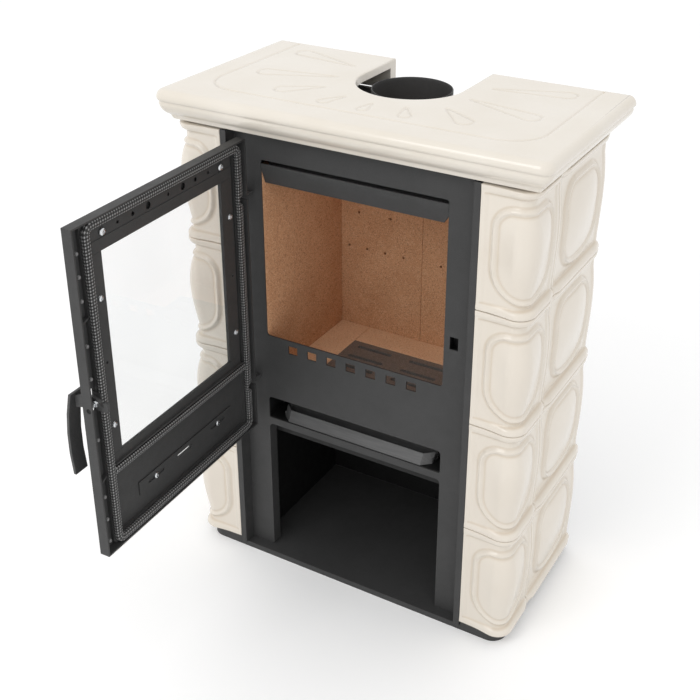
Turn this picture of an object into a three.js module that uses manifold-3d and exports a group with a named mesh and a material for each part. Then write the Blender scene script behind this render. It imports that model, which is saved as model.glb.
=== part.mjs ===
// Tiled wood stove: a steel firebox and log store inside a shell of glazed ceramic tiles, with a
// ceramic top, a glazed door on two lift-off pins, a hook latch, an ash pan and an air slide.
// Millimetres, +Z up. The origin is on the floor under the middle of the tiled body. -Y is the front.
// The door stands open, as the stove is usually shown.

import * as THREE from 'three';
import { mergeVertices } from 'three/addons/utils/BufferGeometryUtils.js';
import Module from 'manifold-3d';

const wasm = await Module();
wasm.setup();

// ---------------------------------------------------------------- driving sizes

const GAP = 0.3;                    // seating clearance between two pieces that touch

// Tiled body
const TILE_FACE = 89;               // face of a corner tile beside the front flange
const BODY_DEPTH = 340;             // front of the tiles to the back edge of the steel top
const COURSE = 224.4;               // one course of tiles with its joint
const COURSES = 4;
const TILE_WALL = 13;
const TILE_JOINT = 0.8;
const TILE_CORNER_R = 45;
const CORNER_TILE_DEPTH = 112;      // how far a corner tile returns along the side
const RELIEF = 6;                   // height of the raised panel of a tile
const RELIEF_MARGIN = 16;           // plain border round the raised panel
const RELIEF_R = 34;

// Base
const BASE_HEIGHT = 24.4;           // shoulder that carries the tiles
const BASE_INSET = 5;               // base edge behind the face of the tiles
const BASE_STEEL = 3;
const STORE_FLOOR = 12.7;           // height of the log store's floor
const BEARER = 40;                  // middle bearer under the floor

// Steel casing
const FLANGE = 12.6;
const FLANGE_REVEAL = 28;           // casing outside the closed door on each side
const PANEL_STEEL = 3;
const PLATE_RECESS = 26.8;          // front plate behind the face of the tiles
const PLATE_STEEL = 3;
const TOP_STEEL = 4;
const TOP_INSET = 8;                // edge of the steel top behind the face of the tiles
const SHIELD_DEPTH = 22;
const SHIELD_STEEL = 2;
const SHIELD_FOOT = 40;             // height of the shield's lower edge
const SHIELD_LOUVRES = 9;

// Openings of the front plate
const FIRE_REVEAL = 0.4;            // plate edge outside the side linings
const FIRE_SILL = 95.6;             // lower edge of the opening above the hearth
const FIRE_HEADER = 53.2;           // upper edge of the opening below the steel top
const FIRE_CORNER_R = 6;
const WINDOWS = 7;
const WINDOW_PITCH = 42.2;
const WINDOW_WIDTH = 20;
const WINDOW_HEIGHT = 17;
const WINDOW_DROP = 19.5;           // window centres below the fire opening
const WINDOW_SHIFT = -2.2;
const SLOT_REVEAL = 2;              // ash slot and store opening outside the side linings
const ASH_BOTTOM = 328;
const ASH_TOP = 376;
const BAR_HEIGHT = 15;              // bar between the ash slot and the log store
const RETURN_DEPTH = 20;
const RETURN_STEEL = 2;

// Firebox
const SHELL_SPACE = 23.1;           // air between the shell and the side panel
const LINING = 28;
const BACK_LINING = 25;
const REAR_SPACE = 35;              // face of the back lining in front of the steel top's rear edge
const HEARTH_RISE = 42;             // top of the floor lining and of the grate above the ash slot
const SHELL_STEEL = 3;
const DEFLECTOR_SLIT = 7.4;         // deflector below the top of the opening
const DEFLECTOR_DROP = 40;
const DEFLECTOR_LEAN = 11;
const DEFLECTOR_BEND = 12;          // upright part above the bend
const DEFLECTOR_CORNER = 13;        // cut corner on the right
const TROUGH_DEPTH = 26;            // air trough behind the deflector
const TROUGH_RIM = 6;
const TROUGH_STEEL = 1.5;
const LINING_DROP = 24.4;           // top of the linings below the top of the opening
const BAFFLE = 25;
const BAFFLE_FRONT = 120;
const GRATE_HALF = 117;
const GRATE_FRONT = 85;
const GRATE_TO_BACK = 65;           // rear of the grate in front of the back lining
const GRATE_PLATE = 10;
const GRATE_RIM = 8;
const GRATE_SLOT = 78;
const GRATE_SLOT_WIDTH = 9;
const GRATE_ROWS = 4;
const GRATE_WEB = 40;               // metal between the two columns of slots
const HOLE_R = 3;
const LOW_HOLES_Z = 597;
const LOW_HOLE_PITCH = 42;
const HIGH_HOLES_Z = 675;
const HIGH_HOLE_PITCH = 73;

// Ash chamber, air duct and log store
const CHAMBER_SPACE = 5;            // chamber side outside the ash slot
const CHAMBER_STEEL = 2;
const DUCT_HEIGHT = 40.7;
const DUCT_SPACE = 16.4;            // air between the duct and the side panel
const PORT_HALF = 60;
const PORT_DEPTH = 20;

// Ash pan
const PAN_SPACE = 24;               // pan side inside the ash slot
const PAN_FRONT = 66;
const PAN_TO_BACK = 13;             // rear of the pan in front of the back lining's face
const PAN_HEIGHT = 38;
const PAN_STEEL = 1.5;
const PULL_RISE = 20;               // sloping pull along the front of the pan
const PULL_LEAN = 11;
const PULL_ENDS = 18;               // how far each turned end of the pull goes outward
const PULL_TURN = 16;               // and back

// Flue collar and ceramic top
const FLUE_R = 75;
const FLUE_WALL = 2.5;
const FLUE_TO_BACK = 94;            // flue axis in front of the steel top's rear edge
const COLLAR_HEIGHT = 44.4;
const COLLAR_FLANGE = 17;
const SLAB_HEIGHT = 56.1;
const SLAB_PLATE = 15;
const SLAB_SIDE = 36;               // overhang over the side tiles
const SLAB_FRONT = 29;              // overhang over the front tiles
const SLAB_REAR = 32;               // overhang behind the steel top
const SLAB_RIM = 42;                // width of the solid rim
const SLAB_CORNER_R = 30;
const CUT_R = 102;                  // flue cut-out, round the flue axis

// Door, in its own frame: across from the hinge pin, back from the pin, up from the floor
const DOOR_WIDTH = 450;
const DOOR_BOTTOM = 322.6;
const DOOR_HEADROOM = 8.4;          // door edge below the steel top
const DOOR_OPEN = 88.24;            // degrees, as shown
const PIN_TO_SKIN = 8;
const DOOR_THICK = 18.6;
const SKIN = 3;
const RIM = 3;
const ROPE_HINGE = 12.5;            // outer edge of the rope seal beside the hinge
const ROPE_TO_EDGE = 26;            // outer edge of the rope seal inside the door's free edge
const ROPE_BELOW = 3.4;
const ROPE_ABOVE = 3.4;
const ROPE_WIDTH = 15;
const ROPE_LAND = 5.7;              // raised land that the rope lies on
const ROPE_FLUSH = 0.3;
const GLASS_LEFT = 69;              // clear glass between the strips
const GLASS_TO_EDGE = 68;
const GLASS_BOTTOM = 496;
const GLASS_DROP = 61.2;            // upper edge of the clear glass below the door's edge
const GLASS_THICK = 4;
const GLASS_COVER = 13;             // glass held under each strip
const SKIN_COVER = 3;               // skin window set back behind the strips
const STRIP = 2.8;
const STRIP_SIDE = 32;
const STRIP_FREE = 23;
const STRIP_TOP = 41;
const STRIP_STEP = 20;              // height of the top strip's thicker lower part
const STRIP_STEP_DEPTH = 1.2;
const STRIP_BOTTOM = 18;
const RAIL_LEG = 8;
const MID_ROPE_DROP = 20;           // top of the middle rope below the clear glass
const SCREW_R = 5.2;
const SCREW_HEAD = 2.4;
const STRIP_SCREW_LOW = 54;         // lower screws of the side strips above the glass edge
const STRIP_SCREW_HIGH = 71;        // upper screw of the hinge side below the glass edge
const FREE_SCREW_HIGH = 75;         // the same on the free side
const STRIP_SCREW_IN = 22;          // screws from the glass edge, hinge side
const STRIP_SCREW_OUT = 13;         // screws from the glass edge, free side
const STRIP_HOLE_RISE = 170;
const FREE_HOLE_RISE = 169;
const STRIP_HOLE_R = 2.5;
const TOP_SCREW_DROP = 12;
const TOP_SCREW_LEFT = -2;          // screws of the top strip from the glass edges
const TOP_SCREW_RIGHT = 6;
const AIR_HOLE_DROP = 11;
const AIR_HOLES = [[32, 3], [68, 4], [103, 6.5], [142, 3], [194, 6.5], [232, 4], [269, 3]];
const BOSS_R = 2;
const BOSS_TO_EDGE = 13;
const BOSS_HEIGHTS = [345, 389, 434, 545, 657, 715, 792, 832, 870];
const GUSSET_HEIGHTS = [466, 757];

// Hinges
const LUG_HEIGHTS = [418, 804];
const LUG = 5;
const PIN_R = 3.9;
const PIN_REACH = 12;
const EYE_R = 8;
const RUNNING = 0.4;
const EAR = 4;
const EAR_REACH = 14;
const LUG_REACH = 20;               // side of a lug nearest the fire opening, from the pin
const LUG_FOOT = 27;

// Latch
const LATCH_TO_EDGE = 19.6;         // middle of the hook inside the door's free edge
const LATCH_Y = 21.5;               // pivot bolt behind the hinge pin
const LATCH_Z = 612;
const HOOK_THICK = 6;
const HOOK_REACH = 43;
const HOOK_TIP = 7.5;
const HOOK_BOTTOM = 599;
const HOOK_SHANK = 8;
const HOOK_TOP = 616.3;
const LEVER_SHOULDER = 2.5;         // top of the lever behind its bolt, over the bolt
const CATCH_BOTTOM = 593;           // slot of the front plate that the hook enters
const CATCH_TOP = 618;
const CATCH_WIDTH = 16;
const BOLT_R = 3.9;
const GRIP_WIDTH = 28;
const GRIP_STEEL = 5;
const GRIP_STAND = 28;              // upper end of the grip in front of the door
const GRIP_SLANT = 9;               // lower end further in front
const GRIP_BOW = 8;
const GRIP_TOP = 620;
const GRIP_BOTTOM = 466;
const ARM_DEPTH = 20;
const LATCH_SLOT_TOP = 634;
const LATCH_SLOT_BOTTOM = 592;
const BRACKET_STEEL = 2.5;
const BRACKET_HALF = 15;
const NUT_R = 6;
const NUT_HIGH = 5;
const BOLT_END = 2.3;               // bolt past its nut
const RIM_HOLE_R = 4.6;             // hole in the door's free edge under the bolt
const RIM_HOLE_Y = 19.6;
const RIM_HOLE_DROP = 6.5;

// Air slide in the lower door panel
const SLIDE_Z = 386.5;
const SLIDE_LEFT = 70;
const SLIDE_RIGHT = 345;
const SLIDE_HEIGHT = 26;
const SLIDE_STEEL = 2;
const SLIDE_SLOT = 44;
const SLIDE_SLOT_WIDTH = 7;
const SLIDE_SCREWS = [112.8, 298.5];
const AIR_SLOT_U = 216;
const AIR_SLOT = 40;
const KNOB_U = 256;
const KNOB_R = 7;
const KNOB_STEM_R = 3;
const KNOB_REACH = 12;
const KNOB_TRAVEL = 16;

// ---------------------------------------------------------------- derived places

const pinX = -DOOR_WIDTH / 2;
const halfFront = DOOR_WIDTH / 2 + FLANGE_REVEAL;
const halfBody = halfFront + TILE_FACE;
const back = (distance) => distance - BODY_DEPTH / 2;      // Y of a depth behind the tile face
const tileFoot = BASE_HEIGHT + GAP;
const tileHead = tileFoot + COURSES * COURSE;
const steelTop = tileHead + GAP;
const slabFoot = steelTop + TOP_STEEL + GAP;
const slabTop = slabFoot + SLAB_HEIGHT;
const floorTop = STORE_FLOOR + GAP;
const webInner = halfFront - FLANGE;
const webOuter = webInner + PANEL_STEEL;
const tileInner = halfBody - TILE_WALL - GAP;
const plateHalf = webInner - GAP;
const plateBack = PLATE_RECESS + PLATE_STEEL;
const inside = plateBack + GAP;                             // first depth free behind the plate
const shieldFront = BODY_DEPTH - SHIELD_STEEL;
const panelBack = shieldFront - GAP;
const shellOuter = webInner - SHELL_SPACE;
const shellInner = shellOuter - SHELL_STEEL;
const fireTop = steelTop - FIRE_HEADER;
const liningTop = fireTop - LINING_DROP;
const fireBack = BODY_DEPTH - REAR_SPACE;
const grateBack = fireBack - GRATE_TO_BACK;
const flueDepth = BODY_DEPTH - FLUE_TO_BACK;
const fireSide = shellInner - GAP - LINING;                 // half the width between the side linings
const fireHalf = fireSide + FIRE_REVEAL;
const slotHalf = fireSide + SLOT_REVEAL;
const shellBack = fireBack + BACK_LINING + GAP;
const hearth = ASH_TOP + HEARTH_RISE;
const fireBottom = hearth + FIRE_SILL;
const hearthBed = hearth - LINING;                          // top of the shell's floor
const shellFoot = hearthBed - GAP - SHELL_STEEL;
const barBottom = ASH_BOTTOM - BAR_HEIGHT;
const chamberFloor = ASH_BOTTOM;
const ductTop = chamberFloor - CHAMBER_STEEL - GAP;
const ductBottom = ductTop - DUCT_HEIGHT;
const chamberHalf = slotHalf + CHAMBER_SPACE;
const ductHalf = webInner - DUCT_SPACE;
const doorTop = steelTop - DOOR_HEADROOM;
const glassTop = doorTop - GLASS_DROP;
const latchU = DOOR_WIDTH - LATCH_TO_EDGE;
const catchX = pinX + latchU;
const ropeFree = DOOR_WIDTH - ROPE_TO_EDGE;
const glassRight = DOOR_WIDTH - GLASS_TO_EDGE;
const midRopeTop = GLASS_BOTTOM - MID_ROPE_DROP;
const bossU = DOOR_WIDTH - BOSS_TO_EDGE;
const lugInner = pinX + LUG_REACH;
const panHalf = slotHalf - PAN_SPACE;
const lugClear = LUG / 2 + RUNNING + 0.9;                    // half height of the cuts round a lug
const rearInside = shellBack + SHELL_STEEL;

// ---------------------------------------------------------------- building helpers

const ARC_STEPS = 4;                // facets of a quarter round
const SLOT_STEPS = 2;

function solid(geometry) {
  const bare = geometry.index ? geometry.toNonIndexed() : geometry.clone();
  bare.deleteAttribute('normal');
  bare.deleteAttribute('uv');
  const merged = mergeVertices(bare, 1e-4);
  return new wasm.Manifold(new wasm.Mesh({
    numProp: 3,
    vertProperties: new Float32Array(merged.attributes.position.array),
    triVerts: new Uint32Array(merged.index.array),
  }));
}

function box(x0, x1, y0, y1, z0, z1) {
  const g = new THREE.BoxGeometry(x1 - x0, y1 - y0, z1 - z0);
  return solid(g.translate((x0 + x1) / 2, (y0 + y1) / 2, (z0 + z1) / 2));
}

// Turns a shape drawn in two axes, and its depth, into the part's X, Y and Z.
const PLANES = {
  xy: new THREE.Matrix4(),
  xz: new THREE.Matrix4().set(1, 0, 0, 0, 0, 0, -1, 0, 0, 1, 0, 0, 0, 0, 0, 1),
  yz: new THREE.Matrix4().set(0, 0, 1, 0, 1, 0, 0, 0, 0, 1, 0, 0, 0, 0, 0, 1),
};

function prism(plane, shape, from, to, steps = ARC_STEPS) {
  const g = new THREE.ExtrudeGeometry(shape, { depth: to - from, bevelEnabled: false,
    curveSegments: steps });
  g.translate(0, 0, plane === 'xz' ? -to : from);
  return solid(g.applyMatrix4(PLANES[plane]));
}

function outline(points) {
  return new THREE.Shape(points.map(([a, b]) => new THREE.Vector2(a, b)));
}

function circle(a, b, r, sides) {
  const shape = [];
  for (let i = 0; i < sides; i++) {
    const t = ((i + 0.5) / sides) * Math.PI * 2;
    shape.push([a + r * Math.cos(t), b + r * Math.sin(t)]);
  }
  return outline(shape);
}

// Rectangle with corner radii in the order low-left, low-right, high-right, high-left.
function rounded(a0, a1, b0, b1, radii) {
  const [ll, lr, hr, hl] = Array.isArray(radii) ? radii : [radii, radii, radii, radii];
  const s = new THREE.Shape();
  s.moveTo(a0 + ll, b0);
  s.lineTo(a1 - lr, b0);
  if (lr > 0) s.absarc(a1 - lr, b0 + lr, lr, -Math.PI / 2, 0, false);
  s.lineTo(a1, b1 - hr);
  if (hr > 0) s.absarc(a1 - hr, b1 - hr, hr, 0, Math.PI / 2, false);
  s.lineTo(a0 + hl, b1);
  if (hl > 0) s.absarc(a0 + hl, b1 - hl, hl, Math.PI / 2, Math.PI, false);
  s.lineTo(a0, b0 + ll);
  if (ll > 0) s.absarc(a0 + ll, b0 + ll, ll, Math.PI, Math.PI * 1.5, false);
  return s;
}

function finished(body) {
  const mesh = body.getMesh();
  const g = new THREE.BufferGeometry();
  g.setAttribute('position', new THREE.BufferAttribute(new Float32Array(mesh.vertProperties), 3));
  g.setIndex(Array.from(mesh.triVerts));
  g.computeVertexNormals();
  return g;
}

const FINISH = {
  glaze: { color: 0xede4d8, roughness: 0.18, metalness: 0 },
  paint: { color: 0x3f3f41, roughness: 0.6, metalness: 0.2 },
  cast: { color: 0x4c4a48, roughness: 0.7, metalness: 0.5 },
  fireclay: { color: 0xb9896a, roughness: 0.95, metalness: 0 },
  pan: { color: 0x6f6f70, roughness: 0.45, metalness: 0.6 },
  zinc: { color: 0xc9cbcc, roughness: 0.3, metalness: 1 },
  rope: { color: 0x2b2b2b, roughness: 1, metalness: 0 },
  glass: { color: 0xeef3f4, roughness: 0.03, metalness: 0, transparent: true, opacity: 0.25 },
};

function add(parent, name, body, finish) {
  const mesh = new THREE.Mesh(finished(body), new THREE.MeshStandardMaterial(FINISH[finish]));
  mesh.name = name;
  parent.add(mesh);
  return mesh;
}

const sides = [['left', -1], ['right', 1]];
const span = (side, a, b) => (side < 0 ? [-b, -a] : [a, b]);

const stove = new THREE.Group();

// ---------------------------------------------------------------- base and casing

function baseTray() {
  const half = halfBody - BASE_INSET;
  const front = back(BASE_INSET);
  const rear = back(shieldFront);
  const plan = rounded(-half, half, front, rear, [TILE_CORNER_R - BASE_INSET, TILE_CORNER_R - BASE_INSET,
    0, 0]);
  const w = BASE_STEEL;
  const hollowR = TILE_CORNER_R - BASE_INSET - w;
  const hollow = rounded(-half + w, half - w, front + w, rear - w, [hollowR, hollowR, 0, 0]);
  return prism('xy', plan, 0, BASE_HEIGHT)
    .subtract(box(-halfFront - GAP, halfFront + GAP, front - 1, rear + 1, STORE_FLOOR, BASE_HEIGHT + 1))
    .subtract(prism('xy', hollow, -1, STORE_FLOOR - w))
    .add(box(-half + w - 1, half - w + 1, -BEARER / 2, BEARER / 2, 0, STORE_FLOOR - w + 1));
}
add(stove, 'base_tray', baseTray(), 'paint');

function sidePanel(side) {
  const [z0, z1] = [BASE_HEIGHT + GAP, steelTop - GAP];
  return box(...span(side, webInner, webOuter), back(0), back(panelBack), floorTop, z1)
    .add(box(...span(side, webInner, halfFront), back(0), back(PANEL_STEEL), floorTop, z1))
    .add(box(...span(side, webInner, tileInner), back(panelBack - PANEL_STEEL), back(panelBack), z0, z1));
}
for (const [name, side] of sides) add(stove, `side_panel_${name}`, sidePanel(side), 'paint');

function frontPlate() {
  const y0 = back(PLATE_RECESS);
  const y1 = back(plateBack);
  const cut = (shape) => prism('xz', shape, y0 - 1, y1 + 1);
  const r = FIRE_CORNER_R;
  let plate = box(-plateHalf, plateHalf, y0, y1, floorTop, steelTop - GAP);
  plate = plate.subtract(cut(rounded(-fireHalf, fireHalf, fireBottom, fireTop, [r, r, 5, 5])));
  plate = plate.subtract(cut(rounded(-slotHalf, slotHalf, ASH_BOTTOM, ASH_TOP, [3, 3, 8, 8])));
  plate = plate.subtract(cut(rounded(-slotHalf, slotHalf, floorTop - 1, barBottom, [0, 0, 8, 8])));
  const halfCatch = CATCH_WIDTH / 2;
  plate = plate.subtract(cut(rounded(catchX - halfCatch, catchX + halfCatch, CATCH_BOTTOM, CATCH_TOP, 0)));
  for (let i = 0; i < WINDOWS; i++) {
    const x = (i - (WINDOWS - 1) / 2) * WINDOW_PITCH + WINDOW_SHIFT;
    const z = fireBottom - WINDOW_DROP;
    plate = plate.subtract(cut(rounded(x - WINDOW_WIDTH / 2, x + WINDOW_WIDTH / 2,
      z - WINDOW_HEIGHT / 2, z + WINDOW_HEIGHT / 2, 0)));
  }
  for (const [, side] of sides) {
    const [x0, x1] = span(side, slotHalf, slotHalf + RETURN_STEEL);
    plate = plate.add(box(x0, x1, y1 - 1, y1 + RETURN_DEPTH, floorTop, barBottom));
  }
  return plate;
}
add(stove, 'front_plate', frontPlate(), 'paint');

function topPlate() {
  const half = halfBody - TOP_INSET;
  const plan = rounded(-half, half, back(TOP_INSET), back(BODY_DEPTH), [30, 30, 0, 0]);
  return prism('xy', plan, steelTop, steelTop + TOP_STEEL)
    .subtract(prism('xy', circle(0, back(flueDepth), FLUE_R - FLUE_WALL, 32), steelTop - 1,
      steelTop + TOP_STEEL + 1));
}
add(stove, 'top_plate', topPlate(), 'paint');

function rearShield() {
  const t = SHIELD_STEEL;
  const rear = shieldFront + SHIELD_DEPTH;
  const top = steelTop - GAP;
  let shield = box(-webOuter, webOuter, back(shieldFront), back(rear), SHIELD_FOOT, top)
    .subtract(box(-webOuter + t, webOuter - t, back(shieldFront) - 1, back(rear - t), SHIELD_FOOT + t,
      top - t));
  for (let i = 0; i < SHIELD_LOUVRES; i++) {
    const x = (i - (SHIELD_LOUVRES - 1) / 2) * 44;
    for (const z of [SHIELD_FOOT + 60, top - 60]) {
      shield = shield.subtract(box(x - 4, x + 4, back(rear - t) - 1, back(rear) + 1, z - 25, z + 25));
    }
  }
  return shield;
}
add(stove, 'rear_shield', rearShield(), 'paint');

// ---------------------------------------------------------------- tiles

// Plan of a corner tile from the front joint round the corner to the side joint, on the right.
function cornerPlan(start, outset, wall, end) {
  const points = [];
  const outer = halfBody + outset;
  const r = TILE_CORNER_R + outset;
  const arc = (radius, from, to) => {
    for (let i = 0; i <= ARC_STEPS + 1; i++) {
      const t = from + ((to - from) * i) / (ARC_STEPS + 1);
      points.push([outer - r + radius * Math.cos(t), back(-outset) + r + radius * Math.sin(t)]);
    }
  };
  points.push([start, back(-outset)]);
  arc(r, -Math.PI / 2, 0);
  points.push([outer, back(end)], [outer - wall, back(end)]);
  arc(r - wall, 0, -Math.PI / 2);
  points.push([start, back(-outset) + wall]);
  return points;
}

function cornerTile(side, foot) {
  const mirrored = (points) => outline(points.map(([x, y]) => [side * x, y]));
  const head = foot + COURSE - TILE_JOINT;
  const joint = halfFront + GAP;
  const end = CORNER_TILE_DEPTH - TILE_JOINT;
  let tile = prism('xy', mirrored(cornerPlan(joint, 0, TILE_WALL, end)), foot, head);
  for (const step of [0.5, 1]) {
    const margin = RELIEF_MARGIN * (0.5 + step / 2);
    const rise = RELIEF * step;
    const plan = cornerPlan(joint + margin * 0.6, rise, rise + TILE_WALL / 2, end - margin);
    tile = tile.add(prism('xy', mirrored(plan), foot + margin, head - margin));
  }
  return tile;
}

function sideTile(side, foot) {
  const head = foot + COURSE - TILE_JOINT;
  const front = back(CORNER_TILE_DEPTH);
  const rear = back(shieldFront);
  let tile = box(...span(side, halfBody - TILE_WALL, halfBody), front, rear, foot, head);
  for (const step of [0.5, 1]) {
    const margin = RELIEF_MARGIN * (0.5 + step / 2);
    const panel = rounded(front + margin, rear - margin, foot + margin, head - margin, RELIEF_R);
    tile = tile.add(prism('yz', panel, ...span(side, halfBody - TILE_WALL / 2, halfBody + RELIEF * step),
      3));
  }
  return tile;
}

for (const [name, side] of sides) {
  for (let course = 0; course < COURSES; course++) {
    const foot = tileFoot + course * COURSE;
    add(stove, `corner_tile_${name}_${course + 1}`, cornerTile(side, foot), 'glaze');
    add(stove, `side_tile_${name}_${course + 1}`, sideTile(side, foot), 'glaze');
  }
}

// ---------------------------------------------------------------- ceramic top and flue

// Plan of the top inside its moulded edge; the rear edge is straight cut.
function slabPlan(inset) {
  const half = halfBody + SLAB_SIDE - inset;
  const front = back(-SLAB_FRONT + inset);
  const r = Math.max(SLAB_CORNER_R - inset, 4);
  return rounded(-half, half, front, back(BODY_DEPTH + SLAB_REAR), [r, r, 0, 0]).getPoints(ARC_STEPS);
}

// Edge moulding from the top down: how far in from the widest line, and how far below the top.
const SLAB_EDGE = [[10, 0], [5, 1.5], [1.5, 5], [0, 10], [0, 15], [3.5, 19], [3.5, 29], [6, 36], [12, 43],
  [20, 49], [25, SLAB_HEIGHT]];

function slabSolid() {
  const rings = SLAB_EDGE.map(([inset, drop]) =>
    slabPlan(inset).slice(0, -1).map((p) => [p.x, p.y, slabTop - drop]));
  const n = rings[0].length;
  const positions = rings.flat(2);
  const index = [];
  for (let k = 0; k + 1 < rings.length; k++) {
    for (let i = 0; i < n; i++) {
      const a = k * n + i;
      const b = k * n + ((i + 1) % n);
      index.push(a, a + n, b, b, a + n, b + n);
    }
  }
  const cap = (ring) => THREE.ShapeUtils.triangulateShape(ring.map(([x, y]) => new THREE.Vector2(x, y)),
    []);
  for (const [a, b, c] of cap(rings[0])) index.push(a, b, c);
  const last = (rings.length - 1) * n;
  for (const [a, b, c] of cap(rings[rings.length - 1])) index.push(last + a, last + c, last + b);
  const g = new THREE.BufferGeometry();
  g.setAttribute('position', new THREE.Float32BufferAttribute(positions, 3));
  g.setIndex(index);
  return solid(g);
}

function ceramicTop() {
  const rear = back(BODY_DEPTH + SLAB_REAR);
  const cutY = back(flueDepth);
  const cut = new THREE.Shape();
  cut.moveTo(CUT_R, rear + 1);
  cut.lineTo(-CUT_R, rear + 1);
  cut.lineTo(-CUT_R, cutY);
  cut.absarc(0, cutY, CUT_R, Math.PI, Math.PI * 2, false);
  const hollow = slabPlan(SLAB_RIM);
  const hollowShape = new THREE.Shape(hollow.map((p) => new THREE.Vector2(p.x,
    Math.min(p.y, rear - SLAB_RIM / 2))));
  const notch = new THREE.ExtrudeGeometry(cut, { depth: SLAB_HEIGHT + 2, bevelEnabled: false,
    curveSegments: 24 });
  return slabSolid()
    .subtract(prism('xy', hollowShape, slabFoot - 1, slabTop - SLAB_PLATE))
    .subtract(solid(notch.translate(0, 0, slabFoot - 1)));
}
add(stove, 'ceramic_top', ceramicTop(), 'glaze');

function flueCollar() {
  const foot = steelTop + TOP_STEEL + GAP;
  const inner = FLUE_R - FLUE_WALL;
  const profile = [[inner, 0], [FLUE_R + COLLAR_FLANGE, 0], [FLUE_R + COLLAR_FLANGE, 3], [FLUE_R, 3],
    [FLUE_R, COLLAR_HEIGHT], [inner, COLLAR_HEIGHT], [inner, 0]];
  const g = new THREE.LatheGeometry(profile.map(([r, z]) => new THREE.Vector2(r, z)), 36);
  g.rotateX(Math.PI / 2);
  return solid(g.translate(0, back(flueDepth), foot));
}
add(stove, 'flue_collar', flueCollar(), 'paint');

// ---------------------------------------------------------------- firebox

function fireboxShell() {
  const y0 = back(inside);
  const y1 = back(rearInside);
  const z1 = steelTop - GAP;
  return box(-shellOuter, shellOuter, y0, y1, shellFoot, z1)
    .subtract(box(-shellInner, shellInner, y0 - 1, y1 - SHELL_STEEL, shellFoot + SHELL_STEEL, z1 + 1))
    .subtract(box(-GRATE_HALF + 2 * GRATE_RIM, GRATE_HALF - 2 * GRATE_RIM,
      back(GRATE_FRONT + 2 * GRATE_RIM), back(grateBack - 2 * GRATE_RIM), shellFoot - 1,
        shellFoot + SHELL_STEEL + 1));
}
add(stove, 'firebox_shell', fireboxShell(), 'paint');

const bed = hearthBed + GAP;
const boardSide = fireSide - GAP;
// pocket behind the catch slot, where the hook of the closed door turns
const hookPocket = box(catchX - CATCH_WIDTH / 2 - 1, shellInner + 1, back(0), back(HOOK_REACH + 5),
  CATCH_BOTTOM - 5, CATCH_TOP + 9);
for (const [name, side] of sides) {
  const x = span(side, fireSide, fireSide + LINING);
  const board = box(...x, back(inside), back(fireBack - GAP), bed, liningTop);
  add(stove, `lining_${name}`, board.subtract(hookPocket), 'fireclay');
}

function backBoard(side) {
  const y0 = back(fireBack);
  const y1 = y0 + BACK_LINING;
  let board = box(...span(side, GAP / 2, fireSide + LINING), y0, y1, bed, liningTop);
  const rows = [[LOW_HOLES_Z, LOW_HOLE_PITCH, 4], [HIGH_HOLES_Z, HIGH_HOLE_PITCH, 2]];
  for (const [z, pitch, count] of rows) {
    for (let i = 1; i <= count; i++) {
      board = board.subtract(prism('xz', circle(side * pitch * i, z, HOLE_R, 6), y0 - 1, y1 + 1));
    }
  }
  return board;
}
for (const [name, side] of sides) add(stove, `lining_back_${name}`, backBoard(side), 'fireclay');

const hearthRear = back(fireBack - GAP);
for (const [name, side] of sides) {
  const x = span(side, GRATE_HALF + GAP, boardSide);
  add(stove, `lining_floor_${name}`, box(...x, back(inside), hearthRear, bed, hearth), 'fireclay');
}
add(stove, 'lining_floor_front',
  box(-GRATE_HALF, GRATE_HALF, back(inside), back(GRATE_FRONT - GAP), bed, hearth), 'fireclay');
add(stove, 'lining_floor_back',
  box(-GRATE_HALF, GRATE_HALF, back(grateBack + GAP), hearthRear, bed, hearth), 'fireclay');

function grate() {
  const half = GRATE_HALF - GAP;
  const y0 = back(GRATE_FRONT);
  const y1 = back(grateBack);
  const w = GRATE_RIM;
  let g = box(-half, half, y0, y1, bed, hearth)
    .subtract(box(-half + w, half - w, y0 + w, y1 - w, bed - 1, hearth - GRATE_PLATE));
  const pitch = (y1 - y0) / GRATE_ROWS;
  for (let row = 0; row < GRATE_ROWS; row++) {
    const y = y0 + pitch * (row + 0.5);
    for (const [, side] of sides) {
      const [x0, x1] = span(side, GRATE_WEB / 2, GRATE_WEB / 2 + GRATE_SLOT);
      const r = GRATE_SLOT_WIDTH / 2;
      const slot = rounded(x0, x1, y - r, y + r, r - 0.1);
      g = g.subtract(prism('xy', slot, hearth - GRATE_PLATE - 1, hearth + 1, SLOT_STEPS));
    }
  }
  return g;
}
add(stove, 'grate', grate(), 'cast');

add(stove, 'baffle', box(-fireSide - LINING, fireSide + LINING, back(BAFFLE_FRONT),
  back(fireBack + BACK_LINING),
  liningTop + GAP, liningTop + GAP + BAFFLE), 'fireclay');

// Bent plate across the top of the fire opening that turns the air down over the glass, with the
// trough behind it that the air comes down from.
function deflector() {
  const top = fireTop - DEFLECTOR_SLIT;
  const low = top - DEFLECTOR_DROP;
  const bend = top - DEFLECTOR_BEND;
  const y = back(PLATE_RECESS + GAP);
  const lean = y + DEFLECTOR_LEAN;
  const t = PLATE_STEEL;
  const section = outline([[y, top], [y + t, top], [y + t, bend], [lean + t, low], [lean, low],
    [y, bend]]);
  const half = boardSide;
  const corner = DEFLECTOR_CORNER;
  const face = outline([[-half, top + 1], [-half, low - 1], [half - corner, low - 1],
    [half, low + 1.4 * corner], [half, top + 1]]);
  const rear = y + TROUGH_DEPTH;
  const w = TROUGH_STEEL;
  const rim = top + TROUGH_RIM;
  const trough = outline([[y + 1, bend - w], [rear, bend - w], [rear, rim], [rear - w, rim],
    [rear - w, bend], [y + 1, bend]]);
  return prism('yz', section, -half, half)
    .intersect(prism('xz', face, y - 1, lean + t + 1))
    .add(prism('yz', trough, -half, half));
}
add(stove, 'deflector', deflector(), 'paint');

// ---------------------------------------------------------------- ash chamber, duct, log store

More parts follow.
